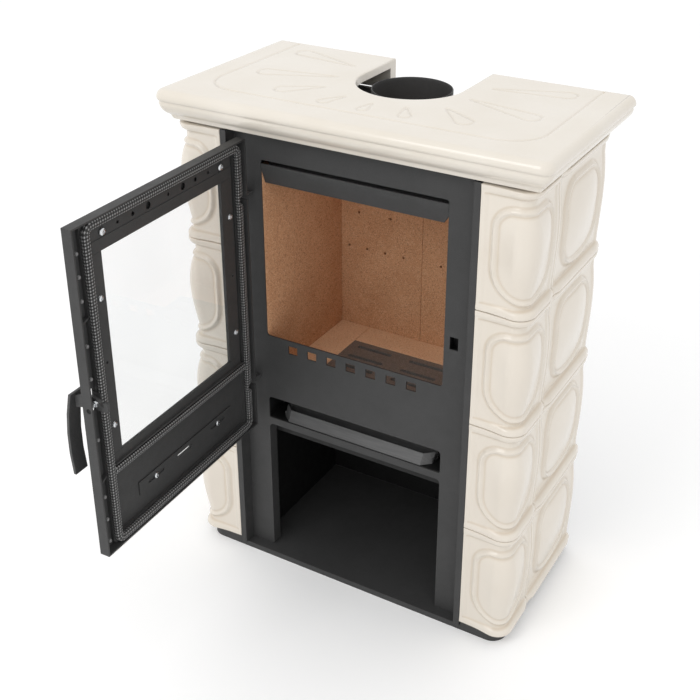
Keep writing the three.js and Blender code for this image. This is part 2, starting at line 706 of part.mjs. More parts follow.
function ashChamber() {
  const t = CHAMBER_STEEL;
  const top = shellFoot - GAP;
  const y1 = back(rearInside);
  return box(-chamberHalf, chamberHalf, back(inside), y1, chamberFloor - t, top)
    .subtract(box(-chamberHalf + t, chamberHalf - t, back(inside) - 1, y1 - t, chamberFloor, top + 1))
    .subtract(box(-PORT_HALF, PORT_HALF, y1 - t - 2 * PORT_DEPTH, y1 - t - PORT_DEPTH,
      chamberFloor - t - 1, chamberFloor + 1));
}
add(stove, 'ash_chamber', ashChamber(), 'paint');

function airDuct() {
  const t = CHAMBER_STEEL;
  const y1 = back(rearInside);
  return box(-ductHalf, ductHalf, back(inside + RETURN_DEPTH), y1, ductBottom, ductTop)
    .subtract(box(-ductHalf + t, ductHalf - t, back(inside + RETURN_DEPTH) + t, y1 + 1, ductBottom + t,
      ductTop - t))
    .add(box(-plateHalf + 50, plateHalf - 50, back(inside), back(inside + RETURN_DEPTH) + 1, barBottom + 1,
      ductTop))
    .subtract(box(-PORT_HALF, PORT_HALF, y1 - t - 2 * PORT_DEPTH, y1 - t - PORT_DEPTH, ductTop - t - 1,
      ductTop + 1));
}
add(stove, 'air_duct', airDuct(), 'paint');

function storeLiner() {
  const t = CHAMBER_STEEL;
  const y0 = back(inside);
  const y1 = back(rearInside);
  const inner = ductHalf - t;
  return box(-ductHalf, ductHalf, y0, y1, floorTop, ductBottom - GAP)
    .subtract(box(-inner, inner, y0 - 1, y1 - t, floorTop - 1, ductBottom + 1));
}
add(stove, 'store_liner', storeLiner(), 'paint');

// ---------------------------------------------------------------- ash pan

// Solid between two plans with the same number of points, one at each height.
function loft(lower, upper, z0, z1) {
  const n = lower.length;
  const positions = [...lower.map(([x, y]) => [x, y, z0]), ...upper.map(([x, y]) => [x, y, z1])].flat();
  const index = [];
  for (let i = 0; i < n; i++) {
    const j = (i + 1) % n;
    index.push(i, j, n + j, i, n + j, n + i);
  }
  const caps = THREE.ShapeUtils.triangulateShape(lower.map(([x, y]) => new THREE.Vector2(x, y)), []);
  for (const [a, b, c] of caps) index.push(a, c, b, n + a, n + b, n + c);
  const g = new THREE.BufferGeometry();
  g.setAttribute('position', new THREE.Float32BufferAttribute(positions, 3));
  g.setIndex(index);
  return solid(g);
}

// Plan of the pull: straight across the front, with both ends turned back.
function pullPlan(front, half, steel) {
  const across = half - PULL_ENDS;
  const side = front + PULL_TURN;
  return [[-half, side], [-across, front], [across, front], [half, side],
    [half - 1.2 * steel, side + steel], [across - 0.6 * steel, front + steel],
    [-across + 0.6 * steel, front + steel], [-half + 1.2 * steel, side + steel]];
}

function ashPan() {
  const t = PAN_STEEL;
  const z0 = chamberFloor + GAP;
  const y0 = back(PAN_FRONT);
  const y1 = back(fireBack - PAN_TO_BACK);
  const edge = back(inside) + 0.2;
  const half = panHalf;
  const pull = loft(pullPlan(edge, half - 1, t), pullPlan(edge + PULL_LEAN, half, t), z0, z0 + PULL_RISE);
  const apron = pullPlan(edge + 1, half - 1, t).slice(0, 4)
    .concat([[half - 1, y0 + 1], [-half + 1, y0 + 1]]);
  let pan = box(-half, half, y0, y1, z0, z0 + PAN_HEIGHT)
    .subtract(box(-half + t, half - t, y0 + t, y1 - t, z0 + t, z0 + PAN_HEIGHT + 1))
    .add(pull)
    .add(prism('xy', outline(apron), z0, z0 + t));
  for (const [, side] of sides) {
    pan = pan.add(box(...span(side, half - 1 - t, half - 1), edge + PULL_TURN, y0 + 1, z0,
      z0 + PULL_RISE / 2));
  }
  return pan;
}
add(stove, 'ash_pan', ashPan(), 'pan');

// ---------------------------------------------------------------- hinge lugs

const doorPlate = PLATE_RECESS - GAP;     // back of a lug, behind the hinge pin

function hingeLug(z) {
  const foot = outline([[pinX - 3, back(0)], [lugInner - 3, back(doorPlate) - 12],
    [lugInner, back(doorPlate)],
    [lugInner - LUG_FOOT, back(doorPlate)], [pinX - EYE_R + 1, back(0)]]);
  const low = z - LUG / 2;
  const high = z + LUG / 2;
  return prism('xy', foot, low, high)
    .add(prism('xy', circle(pinX, back(0), EYE_R - 1, 16), low, high))
    .add(prism('xy', circle(pinX, back(0), PIN_R, 16), z - PIN_REACH, z + PIN_REACH));
}
add(stove, 'hinge_lug_lower', hingeLug(LUG_HEIGHTS[0]), 'paint');
add(stove, 'hinge_lug_upper', hingeLug(LUG_HEIGHTS[1]), 'paint');

// ---------------------------------------------------------------- door

const door = new THREE.Group();
door.position.set(pinX, back(0), 0);
door.rotation.z = THREE.MathUtils.degToRad(-DOOR_OPEN);
stove.add(door);

const skinBack = PIN_TO_SKIN + SKIN;
const doorRim = PIN_TO_SKIN + DOOR_THICK;
const onSkin = skinBack + GAP;
const ropeLow = DOOR_BOTTOM + ROPE_BELOW;
const ropeHigh = doorTop - ROPE_ABOVE;
const landTop = skinBack + ROPE_LAND;
const glassBack = onSkin + GLASS_THICK;
const stripFront = glassBack + GAP;
const stripBack = stripFront + STRIP;

function ring(y0, y1, inset) {
  const outer = rounded(ROPE_HINGE + inset, ropeFree - inset, ropeLow + inset, ropeHigh - inset, 10);
  const w = ROPE_WIDTH;
  const inner = rounded(ROPE_HINGE + w, ropeFree - w, ropeLow + w, ropeHigh - w, 4);
  return prism('xz', outer, y0, y1).subtract(prism('xz', inner, y0 - 1, y1 + 1));
}

function doorPan() {
  const w = DOOR_WIDTH;
  const y0 = PIN_TO_SKIN;
  let pan = box(0, w, y0, doorRim, DOOR_BOTTOM, doorTop)
    .subtract(box(RIM, w - RIM, skinBack, doorRim + 1, DOOR_BOTTOM + RIM, doorTop - RIM));
  pan = pan.add(ring(skinBack - 1, landTop, 0));
  const c = SKIN_COVER;
  pan = pan.subtract(prism('xz', rounded(GLASS_LEFT - c, glassRight + c, GLASS_BOTTOM - c, glassTop + c,
    3),
    y0 - 1, skinBack + 1));
  for (const z of GUSSET_HEIGHTS) {
    const gusset = outline([[ropeFree - 1, skinBack - 1], [w - RIM + 1, skinBack - 1],
      [w - RIM + 1, doorRim - 2],
      [ropeFree - 1, landTop]]);
    pan = pan.add(prism('xy', gusset, z - 1.5, z + 1.5));
  }
  for (const z of BOSS_HEIGHTS) pan = pan.add(prism('xz', circle(bossU, z, BOSS_R, 6), skinBack - 1,
    doorRim - 6));
  // lug clearances and the eyes above and below each lug
  const clear = lugClear;
  for (const z of LUG_HEIGHTS) {
    for (const [, side] of sides) {
      const [z0, z1] = span(side, clear, clear + EAR).map((d) => z + d);
      pan = pan.add(prism('xy', circle(0, 0, EYE_R, 16), z0, z1))
        .add(box(-2, EAR_REACH, 0, skinBack - 1, z0, z1));
    }
    pan = pan.subtract(box(-EYE_R - 1, lugInner - pinX + 1, -EYE_R - 1, doorRim + 1, z - clear,
      z + clear));
    pan = pan.subtract(prism('xy', circle(0, 0, PIN_R + RUNNING + 0.05, 16), z - PIN_REACH - 8,
      z + PIN_REACH + 8));
  }
  // latch slot, bolt hole, air slots and knob slot
  const halfSlot = HOOK_THICK / 2 + 1;
  pan = pan.subtract(box(latchU - halfSlot, latchU + halfSlot, y0 - 1, skinBack + 1, LATCH_SLOT_BOTTOM,
    LATCH_SLOT_TOP));
  pan = pan.subtract(prism('yz', circle(RIM_HOLE_Y, LATCH_Z - RIM_HOLE_DROP, RIM_HOLE_R, 12), w - RIM - 1,
    w + 1));
  const airHalf = AIR_SLOT / 2;
  const r = SLIDE_SLOT_WIDTH / 2;
  const airSlot = rounded(AIR_SLOT_U - airHalf, AIR_SLOT_U + airHalf, SLIDE_Z - r, SLIDE_Z + r, r - 0.1);
  pan = pan.subtract(prism('xz', airSlot, y0 - 1, skinBack + 1, SLOT_STEPS));
  const k = KNOB_STEM_R + 0.6;
  const knobEnd = KNOB_TRAVEL + k;
  const knobSlot = rounded(KNOB_U - knobEnd, KNOB_U + knobEnd, SLIDE_Z - k, SLIDE_Z + k, k - 0.1);
  return pan.subtract(prism('xz', knobSlot, y0 - 1, skinBack + 1, SLOT_STEPS));
}
add(door, 'door_pan', doorPan(), 'paint');

// The rope is notched on its outer edge where a hinge lug reaches past it.
function doorRope() {
  const y0 = landTop + GAP;
  const y1 = doorRim - ROPE_FLUSH;
  let rope = ring(y0, y1, 1);
  for (const z of LUG_HEIGHTS) {
    rope = rope.subtract(box(0, lugInner - pinX + 1, y0 - 1, y1 + 1, z - lugClear, z + lugClear));
  }
  return rope;
}
add(door, 'door_rope', doorRope(), 'rope');

const insideRope = ROPE_HINGE + ROPE_WIDTH + GAP;
const insideFree = ropeFree - ROPE_WIDTH - GAP;
add(door, 'door_rope_middle', prism('yz',
  rounded(onSkin, doorRim - ROPE_FLUSH, midRopeTop - ROPE_WIDTH, midRopeTop, 3), insideRope, insideFree),
    'rope');

const hold = GLASS_COVER;
add(door, 'door_glass', box(GLASS_LEFT - hold, glassRight + hold, onSkin, glassBack,
  GLASS_BOTTOM - hold, glassTop + hold), 'glass');

// A holding strip with its holes, and the screws that reach the skin beside the glass.
function bareStrip(u0, u1, z0, z1, holes) {
  let s = box(u0, u1, stripFront, stripBack, z0, z1);
  for (const [u, z, r] of holes) s = s.subtract(prism('xz', circle(u, z, r, 10), stripFront - 1,
    stripBack + 1));
  return s;
}

function screwed(body, screws) {
  let s = body;
  for (const [u, z] of screws) s = s.add(prism('xz', circle(u, z, SCREW_R, 12), stripBack - 2,
    stripBack + SCREW_HEAD));
  return s;
}

function strip(u0, u1, z0, z1, screws, holes = []) {
  return screwed(bareStrip(u0, u1, z0, z1, holes), screws);
}
const stripTopEdge = glassTop + STRIP_TOP;
const topScrewZ = stripTopEdge - TOP_SCREW_DROP;
const lowScrewZ = GLASS_BOTTOM + STRIP_SCREW_LOW;
const hingeScrewU = GLASS_LEFT - STRIP_SCREW_IN;
const freeScrewU = glassRight + STRIP_SCREW_OUT;
function topStrip() {
  const [u0, u1] = [GLASS_LEFT - STRIP_SIDE, glassRight + STRIP_FREE];
  const holes = AIR_HOLES.map(([u, r]) => [GLASS_LEFT + u, stripTopEdge - AIR_HOLE_DROP, r]);
  const screws = [[GLASS_LEFT + TOP_SCREW_LEFT, topScrewZ], [glassRight - TOP_SCREW_RIGHT, topScrewZ]];
  const step = box(u0 - 1, u1 + 1, stripBack - STRIP_STEP_DEPTH, stripBack + 1,
    glassTop + STRIP_STEP, stripTopEdge + 1);
  return screwed(bareStrip(u0, u1, glassTop, stripTopEdge, holes).subtract(step), screws);
}
add(door, 'glass_strip_top', topStrip(), 'paint');
add(door, 'glass_strip_hinge', strip(GLASS_LEFT - STRIP_SIDE, GLASS_LEFT, GLASS_BOTTOM + GAP,
  glassTop - GAP,
  [[hingeScrewU, lowScrewZ], [hingeScrewU, glassTop - STRIP_SCREW_HIGH]],
  [[hingeScrewU, GLASS_BOTTOM + STRIP_HOLE_RISE, STRIP_HOLE_R]]), 'paint');
add(door, 'glass_strip_free', strip(glassRight, glassRight + STRIP_FREE, GLASS_BOTTOM + GAP,
  glassTop - GAP,
  [[freeScrewU, lowScrewZ], [freeScrewU, glassTop - FREE_SCREW_HIGH]],
  [[freeScrewU, GLASS_BOTTOM + FREE_HOLE_RISE, STRIP_HOLE_R]]), 'paint');
const railZ = GLASS_BOTTOM - STRIP_BOTTOM;
add(door, 'glass_strip_bottom', strip(GLASS_LEFT - STRIP_SIDE, glassRight + STRIP_FREE, railZ,
  GLASS_BOTTOM, [])
  .add(box(GLASS_LEFT - STRIP_SIDE, glassRight + STRIP_FREE, stripFront, stripBack + RAIL_LEG - STRIP,
    railZ, railZ + STRIP)), 'paint');

// ---------------------------------------------------------------- latch

const leverLow = latchU - HOOK_THICK / 2;
const leverHigh = latchU + HOOK_THICK / 2;
const bearU = ropeFree + GAP;
const bearing = box(bearU, bearU + BRACKET_STEEL, onSkin, doorRim - ROPE_FLUSH, LATCH_Z - BRACKET_HALF,
  LATCH_Z + BRACKET_HALF)
  .subtract(prism('yz', circle(LATCH_Y, LATCH_Z, BOLT_R + GAP, 12), bearU - 1, bearU + 4));
add(door, 'latch_bracket', bearing, 'paint');

const nutU = leverHigh + GAP;
const boltEnd = nutU + NUT_HIGH + BOLT_END;
add(door, 'latch_bolt', prism('yz', circle(LATCH_Y, LATCH_Z, BOLT_R, 12), bearU, boltEnd), 'zinc');

const nut = prism('yz', circle(LATCH_Y, LATCH_Z, NUT_R, 6), nutU, nutU + NUT_HIGH)
  .subtract(prism('yz', circle(LATCH_Y, LATCH_Z, BOLT_R + GAP, 12), leverHigh, boltEnd + 1));
add(door, 'latch_nut', nut, 'zinc');

function latchHandle() {
  const face = PIN_TO_SKIN - GRIP_STAND;
  const low = face - GRIP_SLANT;
  const shank = HOOK_BOTTOM + HOOK_SHANK;
  const lever = outline([[face - 2, GRIP_TOP - ARM_DEPTH - 8], [LATCH_Y - 6, LATCH_Z - 9],
    [LATCH_Y + 4, HOOK_BOTTOM],
    [HOOK_REACH - 3, HOOK_BOTTOM], [HOOK_REACH, HOOK_BOTTOM + 3], [HOOK_REACH, HOOK_TOP],
    [HOOK_REACH - HOOK_TIP, HOOK_TOP],
    [HOOK_REACH - HOOK_TIP, shank], [LATCH_Y + 8, shank + 2],
    [LATCH_Y + 8, LATCH_Z + LEVER_SHOULDER], [LATCH_Y + 2, LATCH_Z + 7], [LATCH_Y - 8, LATCH_Z + 10],
    [face - 2, GRIP_TOP - 6]]);
  const mid = (GRIP_TOP + GRIP_BOTTOM) / 2;
  const bow = (face + low) / 2 - 2 * GRIP_BOW;
  const grip = new THREE.Shape();
  grip.moveTo(face, GRIP_TOP);
  grip.quadraticCurveTo(bow, mid, low, GRIP_BOTTOM);
  grip.lineTo(low - GRIP_STEEL, GRIP_BOTTOM);
  grip.quadraticCurveTo(bow - GRIP_STEEL, mid, face - GRIP_STEEL, GRIP_TOP);
  return prism('yz', lever, leverLow, leverHigh)
    .add(prism('yz', grip, latchU - GRIP_WIDTH / 2, latchU + GRIP_WIDTH / 2))
    .subtract(prism('yz', circle(LATCH_Y, LATCH_Z, BOLT_R + GAP + 0.1, 12), leverLow - 1, leverHigh + 1));
}
add(door, 'latch_handle', latchHandle(), 'paint');

// ---------------------------------------------------------------- air slide

function airSlide() {
  const z0 = SLIDE_Z - SLIDE_HEIGHT / 2;
  const y1 = onSkin + SLIDE_STEEL;
  let slide = box(SLIDE_LEFT, SLIDE_RIGHT, onSkin, y1, z0, z0 + SLIDE_HEIGHT);
  const r = SLIDE_SLOT_WIDTH / 2;
  for (const u of [...SLIDE_SCREWS, AIR_SLOT_U]) {
    const hole = rounded(u - SLIDE_SLOT / 2, u + SLIDE_SLOT / 2, SLIDE_Z - r, SLIDE_Z + r, r - 0.1);
    slide = slide.subtract(prism('xz', hole, onSkin - 1, y1 + 1, SLOT_STEPS));
  }
  return slide
    .add(prism('xz', circle(KNOB_U, SLIDE_Z, KNOB_STEM_R, 12), PIN_TO_SKIN - KNOB_REACH + 1, onSkin + 1))
    .add(prism('xz', circle(KNOB_U, SLIDE_Z, KNOB_R, 16), PIN_TO_SKIN - KNOB_REACH, PIN_TO_SKIN - 3));
}
add(door, 'air_slide', airSlide(), 'paint');

const slideTop = onSkin + SLIDE_STEEL;
for (const [i, [name]] of sides.entries()) {
  const u = SLIDE_SCREWS[i];
  const screw = prism('xz', circle(u, SLIDE_Z, 2.4, 8), onSkin, slideTop + GAP + 1)
    .add(prism('xz', circle(u, SLIDE_Z, SCREW_R + 0.6, 12), slideTop + GAP, slideTop + GAP + SCREW_HEAD));
  add(door, `slide_screw_${name}`, screw, 'zinc');
}

export default stove;
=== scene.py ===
# Looks of a tiled wood stove: relief tiles and a moulded top under an ivory glaze, painted steel,
# fireclay linings, a cast grate, a braided rope seal and a glazed door that stands open.
# Lengths are millimetres in the stove's own frame until a mesh is made, which is in metres.

import math

import bmesh
import bpy
from mathutils import Matrix, Vector


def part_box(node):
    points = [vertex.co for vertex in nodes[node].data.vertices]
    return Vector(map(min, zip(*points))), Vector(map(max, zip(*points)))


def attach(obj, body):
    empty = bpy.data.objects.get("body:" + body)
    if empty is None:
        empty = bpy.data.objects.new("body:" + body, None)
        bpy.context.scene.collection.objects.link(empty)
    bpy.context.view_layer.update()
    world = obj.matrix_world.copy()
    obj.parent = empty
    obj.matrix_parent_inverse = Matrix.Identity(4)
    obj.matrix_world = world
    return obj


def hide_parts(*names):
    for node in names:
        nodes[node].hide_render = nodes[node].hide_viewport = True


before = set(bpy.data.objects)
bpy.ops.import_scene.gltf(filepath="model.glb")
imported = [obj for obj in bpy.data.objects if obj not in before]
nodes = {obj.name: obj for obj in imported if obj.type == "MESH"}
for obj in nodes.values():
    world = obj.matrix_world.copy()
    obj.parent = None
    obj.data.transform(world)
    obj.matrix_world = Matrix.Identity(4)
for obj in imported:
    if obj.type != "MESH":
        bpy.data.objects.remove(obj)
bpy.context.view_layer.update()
MM = 0.001


def box_mm(node):
    low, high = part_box(node)
    return low / MM, high / MM


# ---------------------------------------------------------------- places taken from the frame

corner_low, corner_high = box_mm("corner_tile_right_1")
side_low, side_high = box_mm("side_tile_right_1")
top_low, top_high = box_mm("ceramic_top")
collar_low, collar_high = box_mm("flue_collar")
base_low, base_high = box_mm("base_tray")

RELIEF = 6.0                        # the plain tiles stand this far proud of their faces
TILE_FACE_X = side_high.x - RELIEF
TILE_FACE_Y = corner_low.y + RELIEF
TILE_WALL = 13.0                    # from the plain face to the back of a tile
TILE_CORNER_R = 25.0
TILE_JOINT_X = corner_low.x
SIDE_JOINT_Y = corner_high.y
TILE_REAR_Y = side_high.y
COURSES = 4


def back(distance):
    """Y of a depth behind the face of the front tiles."""
    return TILE_FACE_Y + distance


# ---------------------------------------------------------------- meshes


def face_outwards(mesh):
    net = bmesh.new()
    net.from_mesh(mesh)
    bmesh.ops.recalc_face_normals(net, faces=net.faces)
    net.to_mesh(mesh)
    net.free()


def mesh_object(name, verts, faces, look, body, replaced=(), place=None, smooth=35.0):
    mesh = bpy.data.meshes.new(name)
    move = place or Matrix.Identity(4)
    mesh.from_pydata([(move @ Vector(v)) * MM for v in verts], [], faces)
    mesh.validate()
    face_outwards(mesh)
    return dress(bpy.data.objects.new(name, mesh), look, body, replaced, smooth)


def dress(piece, look, body, replaced=(), smooth=35.0):
    bpy.context.scene.collection.objects.link(piece)
    piece.data.polygons.foreach_set("use_smooth", [True] * len(piece.data.polygons))
    if smooth:
        piece.data.set_sharp_from_angle(angle=math.radians(smooth))
    piece.data.materials.clear()
    piece.data.materials.append(look[0])
    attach(piece, body)
    if replaced:
        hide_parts(*replaced)
    return piece


def soften(piece, width):
    """Rounds the hard edges of a piece by a real edge radius."""
    edge = piece.modifiers.new("edge", "BEVEL")
    edge.width = width * MM
    edge.segments = 2
    edge.limit_method = "ANGLE"
    edge.angle_limit = math.radians(30.0)
    edge.use_clamp_overlap = True
    level = piece.modifiers.new("level", "WEIGHTED_NORMAL")
    level.keep_sharp = False
    return piece


def prism(points, z0, z1):
    n = len(points)
    verts = [(x, y, z) for z in (z0, z1) for x, y in points]
    faces = [tuple(range(n))[::-1], tuple(range(n, 2 * n))]
    faces += [(i, (i + 1) % n, n + (i + 1) % n, n + i) for i in range(n)]
    return verts, faces


def rounded(x0, x1, y0, y1, radii, steps=10):
    """Rectangle with corner radii in the order low-left, low-right, high-right, high-left."""
    corners = [(x0, y0, 1, 1, 180), (x1, y0, -1, 1, 270), (x1, y1, -1, -1, 0), (x0, y1, 1, -1, 90)]
    points = []
    for (x, y, sx, sy, start), r in zip(corners, radii):
        if r <= 0:
            points.append((x, y))
            continue
        for i in range(steps + 1):
            t = math.radians(start + 90.0 * i / steps)
            points.append((x + sx * r + r * math.cos(t), y + sy * r + r * math.sin(t)))
    return points


def lathe(profile, segments, centre=(0.0, 0.0), bump=None):
    """Turned solid of a closed profile of radius and height; bump(angle, radius) raises its skin."""
    verts = []
    faces = []
    n = len(profile)
    for i in range(segments):
        t = 2 * math.pi * i / segments
        for r, z in profile:
            grow = bump(t, r) if bump else 0.0
            verts.append((centre[0] + (r + grow) * math.cos(t), centre[1] + (r + grow) * math.sin(t), z))
    for i in range(segments):
        a = i * n
        b = ((i + 1) % segments) * n
        for k in range(n):
            m = (k + 1) % n
            faces.append((a + k, b + k, b + m, a + m))
    return verts, faces


def smoothstep(x, low, high):
    t = min(max((x - low) / (high - low), 0.0), 1.0)
    return t * t * (3 - 2 * t)


# ---------------------------------------------------------------- materials


def linear(code):
    """Linear colour of an sRGB hex code."""
    values = [int(code[i:i + 2], 16) / 255 for i in (1, 3, 5)]
    return [v / 12.92 if v <= 0.04045 else ((v + 0.055) / 1.055) ** 2.4 for v in values] + [1.0]


class Finish:
    """A Principled material and the few nodes that its pattern needs. Patterns are sized in millimetres."""

    def __init__(self, name, slot, **sockets):
        self.material = bpy.data.materials.new(name)
        self.material.use_nodes = True
        self.tree = self.material.node_tree
        self.shader = self.tree.nodes["Principled BSDF"]
        self.slot = slot
        self.place = self.add("ShaderNodeTexCoord").outputs["Object"]
        for key, value in sockets.items():
            self.set(key.replace("_", " "), value)

    def add(self, kind, inputs=None, **properties):
        made = self.tree.nodes.new(kind)
        for key, value in properties.items():
            setattr(made, key, value)
        for key, value in (inputs or {}).items():
            if isinstance(value, bpy.types.NodeSocket):
                self.tree.links.new(value, made.inputs[key])
            else:
                made.inputs[key].default_value = value
        return made

    def set(self, socket, value):
        target = self.shader.inputs[socket]
        if isinstance(value, bpy.types.NodeSocket):
            self.tree.links.new(value, target)
        else:
            target.default_value = value

    def noise(self, size, detail=2.0, stretch=(1, 1, 1)):
        spot = self.add("ShaderNodeMapping", {"Vector": self.place, "Scale": stretch}).outputs[0]
        inputs = {"Vector": spot, "Scale": 1 / (size * MM), "Detail": detail}
        return self.add("ShaderNodeTexNoise", inputs).outputs["Fac"]

    def cells(self, size):
        inputs = {"Vector": self.place, "Scale": 1 / (size * MM)}
        return self.add("ShaderNodeTexVoronoi", inputs)

    def range(self, value, low, high, to_low=0.0, to_high=1.0):
        inputs = {"Value": value, "From Min": low, "From Max": high, "To Min": to_low, "To Max": to_high}
        return self.add("ShaderNodeMapRange", inputs).outputs[0]

    def mix(self, factor, first, second):
        made = self.add("ShaderNodeMix", data_type="RGBA")
        for value, socket in ((factor, made.inputs[0]), (first, made.inputs[6]), (second, made.inputs[7])):
            if isinstance(value, bpy.types.NodeSocket):
                self.tree.links.new(value, socket)
            else:
                socket.default_value = linear(value) if isinstance(value, str) else value
        return made.outputs[2]

    def bump(self, height, depth, below=None):
        inputs = {"Height": height, "Distance": depth * MM, "Strength": 1.0}
        if below is not None:
            inputs["Normal"] = below
        return self.add("ShaderNodeBump", inputs).outputs[0]

    def attribute(self, name):
        return self.add("ShaderNodeAttribute", attribute_name=name).outputs["Fac"]

    def look(self):
        return self.material, self.slot


def glaze(name, first, second):
    """Ivory glaze: a wet gloss over slightly uneven clay, warmer where it pools in the grooves."""
    f = Finish(name, "glazed_tile", Roughness=0.24, IOR=1.5, Coat_Weight=0.3, Coat_Roughness=0.1)
    drift = f.range(f.noise(110, 2), 0.3, 0.7)
    body = f.mix(drift, first, second)
    pool = f.range(f.attribute("pool"), 0.0, 1.0, 0.0, 0.6)
    body = f.mix(pool, body, "#C9B69C")
    fleck = f.range(f.noise(1.6, 1), 0.72, 0.8, 0.0, 0.3)
    f.set("Base Color", f.mix(fleck, body, "#CDBBA2"))
    wave = f.bump(f.noise(34, 1), 0.3)
    f.set("Normal", f.bump(f.noise(3.2, 1), 0.012, wave))
    return f.look()


def paint(name, dark, light, grain_tone):
    """Stove paint: a dry anthracite film with a fine tooth and faint cloudiness."""
    f = Finish(name, "stove_paint", Metallic=0.0, IOR=1.4)
    cloud = f.range(f.noise(55, 3), 0.3, 0.7)
    tone = f.mix(cloud, dark, light)
    grain = f.range(f.noise(0.9, 1), 0.35, 0.65)
    f.set("Base Color", f.mix(grain, tone, grain_tone))
    f.set("Roughness", f.range(f.noise(18, 2), 0.3, 0.7, 0.5, 0.62))
    f.set("Normal", f.bump(f.noise(0.8, 2), 0.03))
    return f.look()


def cast_iron():
    """Cast iron: dark grey with the sandy skin of the mould, and paler where the skin stands higher."""
    f = Finish("grey cast iron", "cast_iron", Metallic=0.35)
    skin = f.noise(2.4, 4)
    f.set("Base Color", f.mix(f.range(skin, 0.35, 0.7), "#716E6B", "#928E8A"))
    f.set("Roughness", f.range(f.noise(9, 2), 0.3, 0.7, 0.55, 0.75))
    f.set("Normal", f.bump(skin, 0.16))
    return f.look()


def fireclay(name, first, second, pale_tone, dark_tone):
    """Pressed lining board: tan ground with pale and dark mineral flakes a millimetre or two across."""
    f = Finish(name, "fireclay", Roughness=0.9)
    ground = f.mix(f.range(f.noise(70, 2), 0.3, 0.7), first, second)
    flake = f.cells(3.0)
    pale = f.range(flake.outputs["Distance"], 0.1, 0.45, 0.8, 0.0)
    toned = f.mix(pale, ground, pale_tone)
    dark = f.range(f.noise(2.4, 3), 0.54, 0.66, 0.0, 0.75)
    f.set("Base Color", f.mix(dark, toned, dark_tone))
    rough = f.bump(f.noise(1.1, 3), 0.18)
    f.set("Normal", f.bump(flake.outputs["Distance"], 0.1, rough))
    return f.look()


def pan_steel():
    """Ash pan: thin grey sheet, rolled smooth, with long faint draw marks."""
    f = Finish("grey pan sheet", "pan_steel", Metallic=0.3)
    draw = f.noise(3, 3, (0.06, 1, 1))
    f.set("Base Color", f.mix(f.range(draw, 0.3, 0.7), "#5C5C5C", "#6A6A6A"))
    f.set("Roughness", f.range(draw, 0.3, 0.7, 0.45, 0.6))
    f.set("Normal", f.bump(draw, 0.02))
    return f.look()


def zinc():
    """Zinc plate on the screws: bright, with a faint blue-grey cloud."""
    f = Finish("zinc plate", "zinc", Metallic=1.0)
    cloud = f.noise(2.0, 2)
    f.set("Base Color", f.mix(f.range(cloud, 0.3, 0.7), "#C9CCCF", "#E4E6E8"))
    f.set("Roughness", f.range(cloud, 0.3, 0.7, 0.2, 0.34))
    f.set("Normal", f.bump(cloud, 0.02))
    return f.look()


def rope():
    """Glass-fibre rope, graphite black, with painted glints: light grey on the crests of the strands and in
    small fibre specks.
    """
    f = Finish("graphite rope", "rope", Roughness=0.62, Sheen_Weight=0.35, Sheen_Roughness=0.4)
    fibre = f.noise(0.5, 2, (1, 1, 0.4))
    # Painted highlight: the crests of the strands are drawn light grey as glints.
    strand_glint = f.range(f.attribute("strand_glint"), 0.5, 0.92)
    tone = f.mix(strand_glint, "#0C0C0C", "#A4A4A4")
    # Painted glints: small light grey specks where the fibre noise peaks.
    f.set("Base Color", f.mix(f.range(fibre, 0.6, 0.75, 0.0, 0.35), tone, "#9A9A9A"))
    f.set("Normal", f.bump(fibre, 0.14))
    return f.look()


def clear_glass():
    """Ceramic glass of the door: clear, with a trace of grey."""
    f = Finish("clear ceramic glass", "glass", Roughness=0.0, IOR=1.45, Transmission_Weight=1.0)
    f.set("Base Color", f.mix(f.range(f.noise(160, 1), 0.3, 0.7), "#F7F8F8", "#FBFCFC"))
    return f.look()


GLAZE = glaze("ivory glaze", "#E3DACD", "#E6DED2")
TOP_GLAZE = glaze("ivory glaze of the top", "#E2DACD", "#E6DFD4")
PAINT = paint("anthracite stove paint", "#343434", "#3B3B3B", "#444444")
# Painted light: the latch lever has the stove's own anthracite paint, drawn lighter to stand in for the rim
# light on it.
LATCH_PAINT_LIT = paint("anthracite paint lightened as painted light on the latch", "#3D3D3D", "#474747", "#525252")
# The studs are drawn a paler grey than the door's paint.
STUD = paint("pale grey paint of the studs", "#6A6A6A", "#787878", "#868686")
# Painted shade: the same anthracite paint drawn near black, for the inner steel, the log store's liner and
# the catch pocket, where shade falls.
SHADE_PAINT = paint("anthracite paint darkened as painted shade inside", "#0E0E0E", "#121212", "#161616")
CAST = cast_iron()
FIRECLAY = fireclay("fireclay board", "#CC9A72", "#D7A67E", "#EFCBA6", "#9A6B4A")
# Painted light: the hearth is the same board as the linings, drawn paler to stand in for the light falling
# on the firebox floor.
HEARTH_CLAY_LIT = fireclay("fireclay lightened as painted light on the hearth", "#E6BE98", "#EEC9A4", "#F8E2C4", "#BE9270")
PAN = pan_steel()
ZINC = zinc()
ROPE = rope()
GLASS = clear_glass()


# ---------------------------------------------------------------- tiles

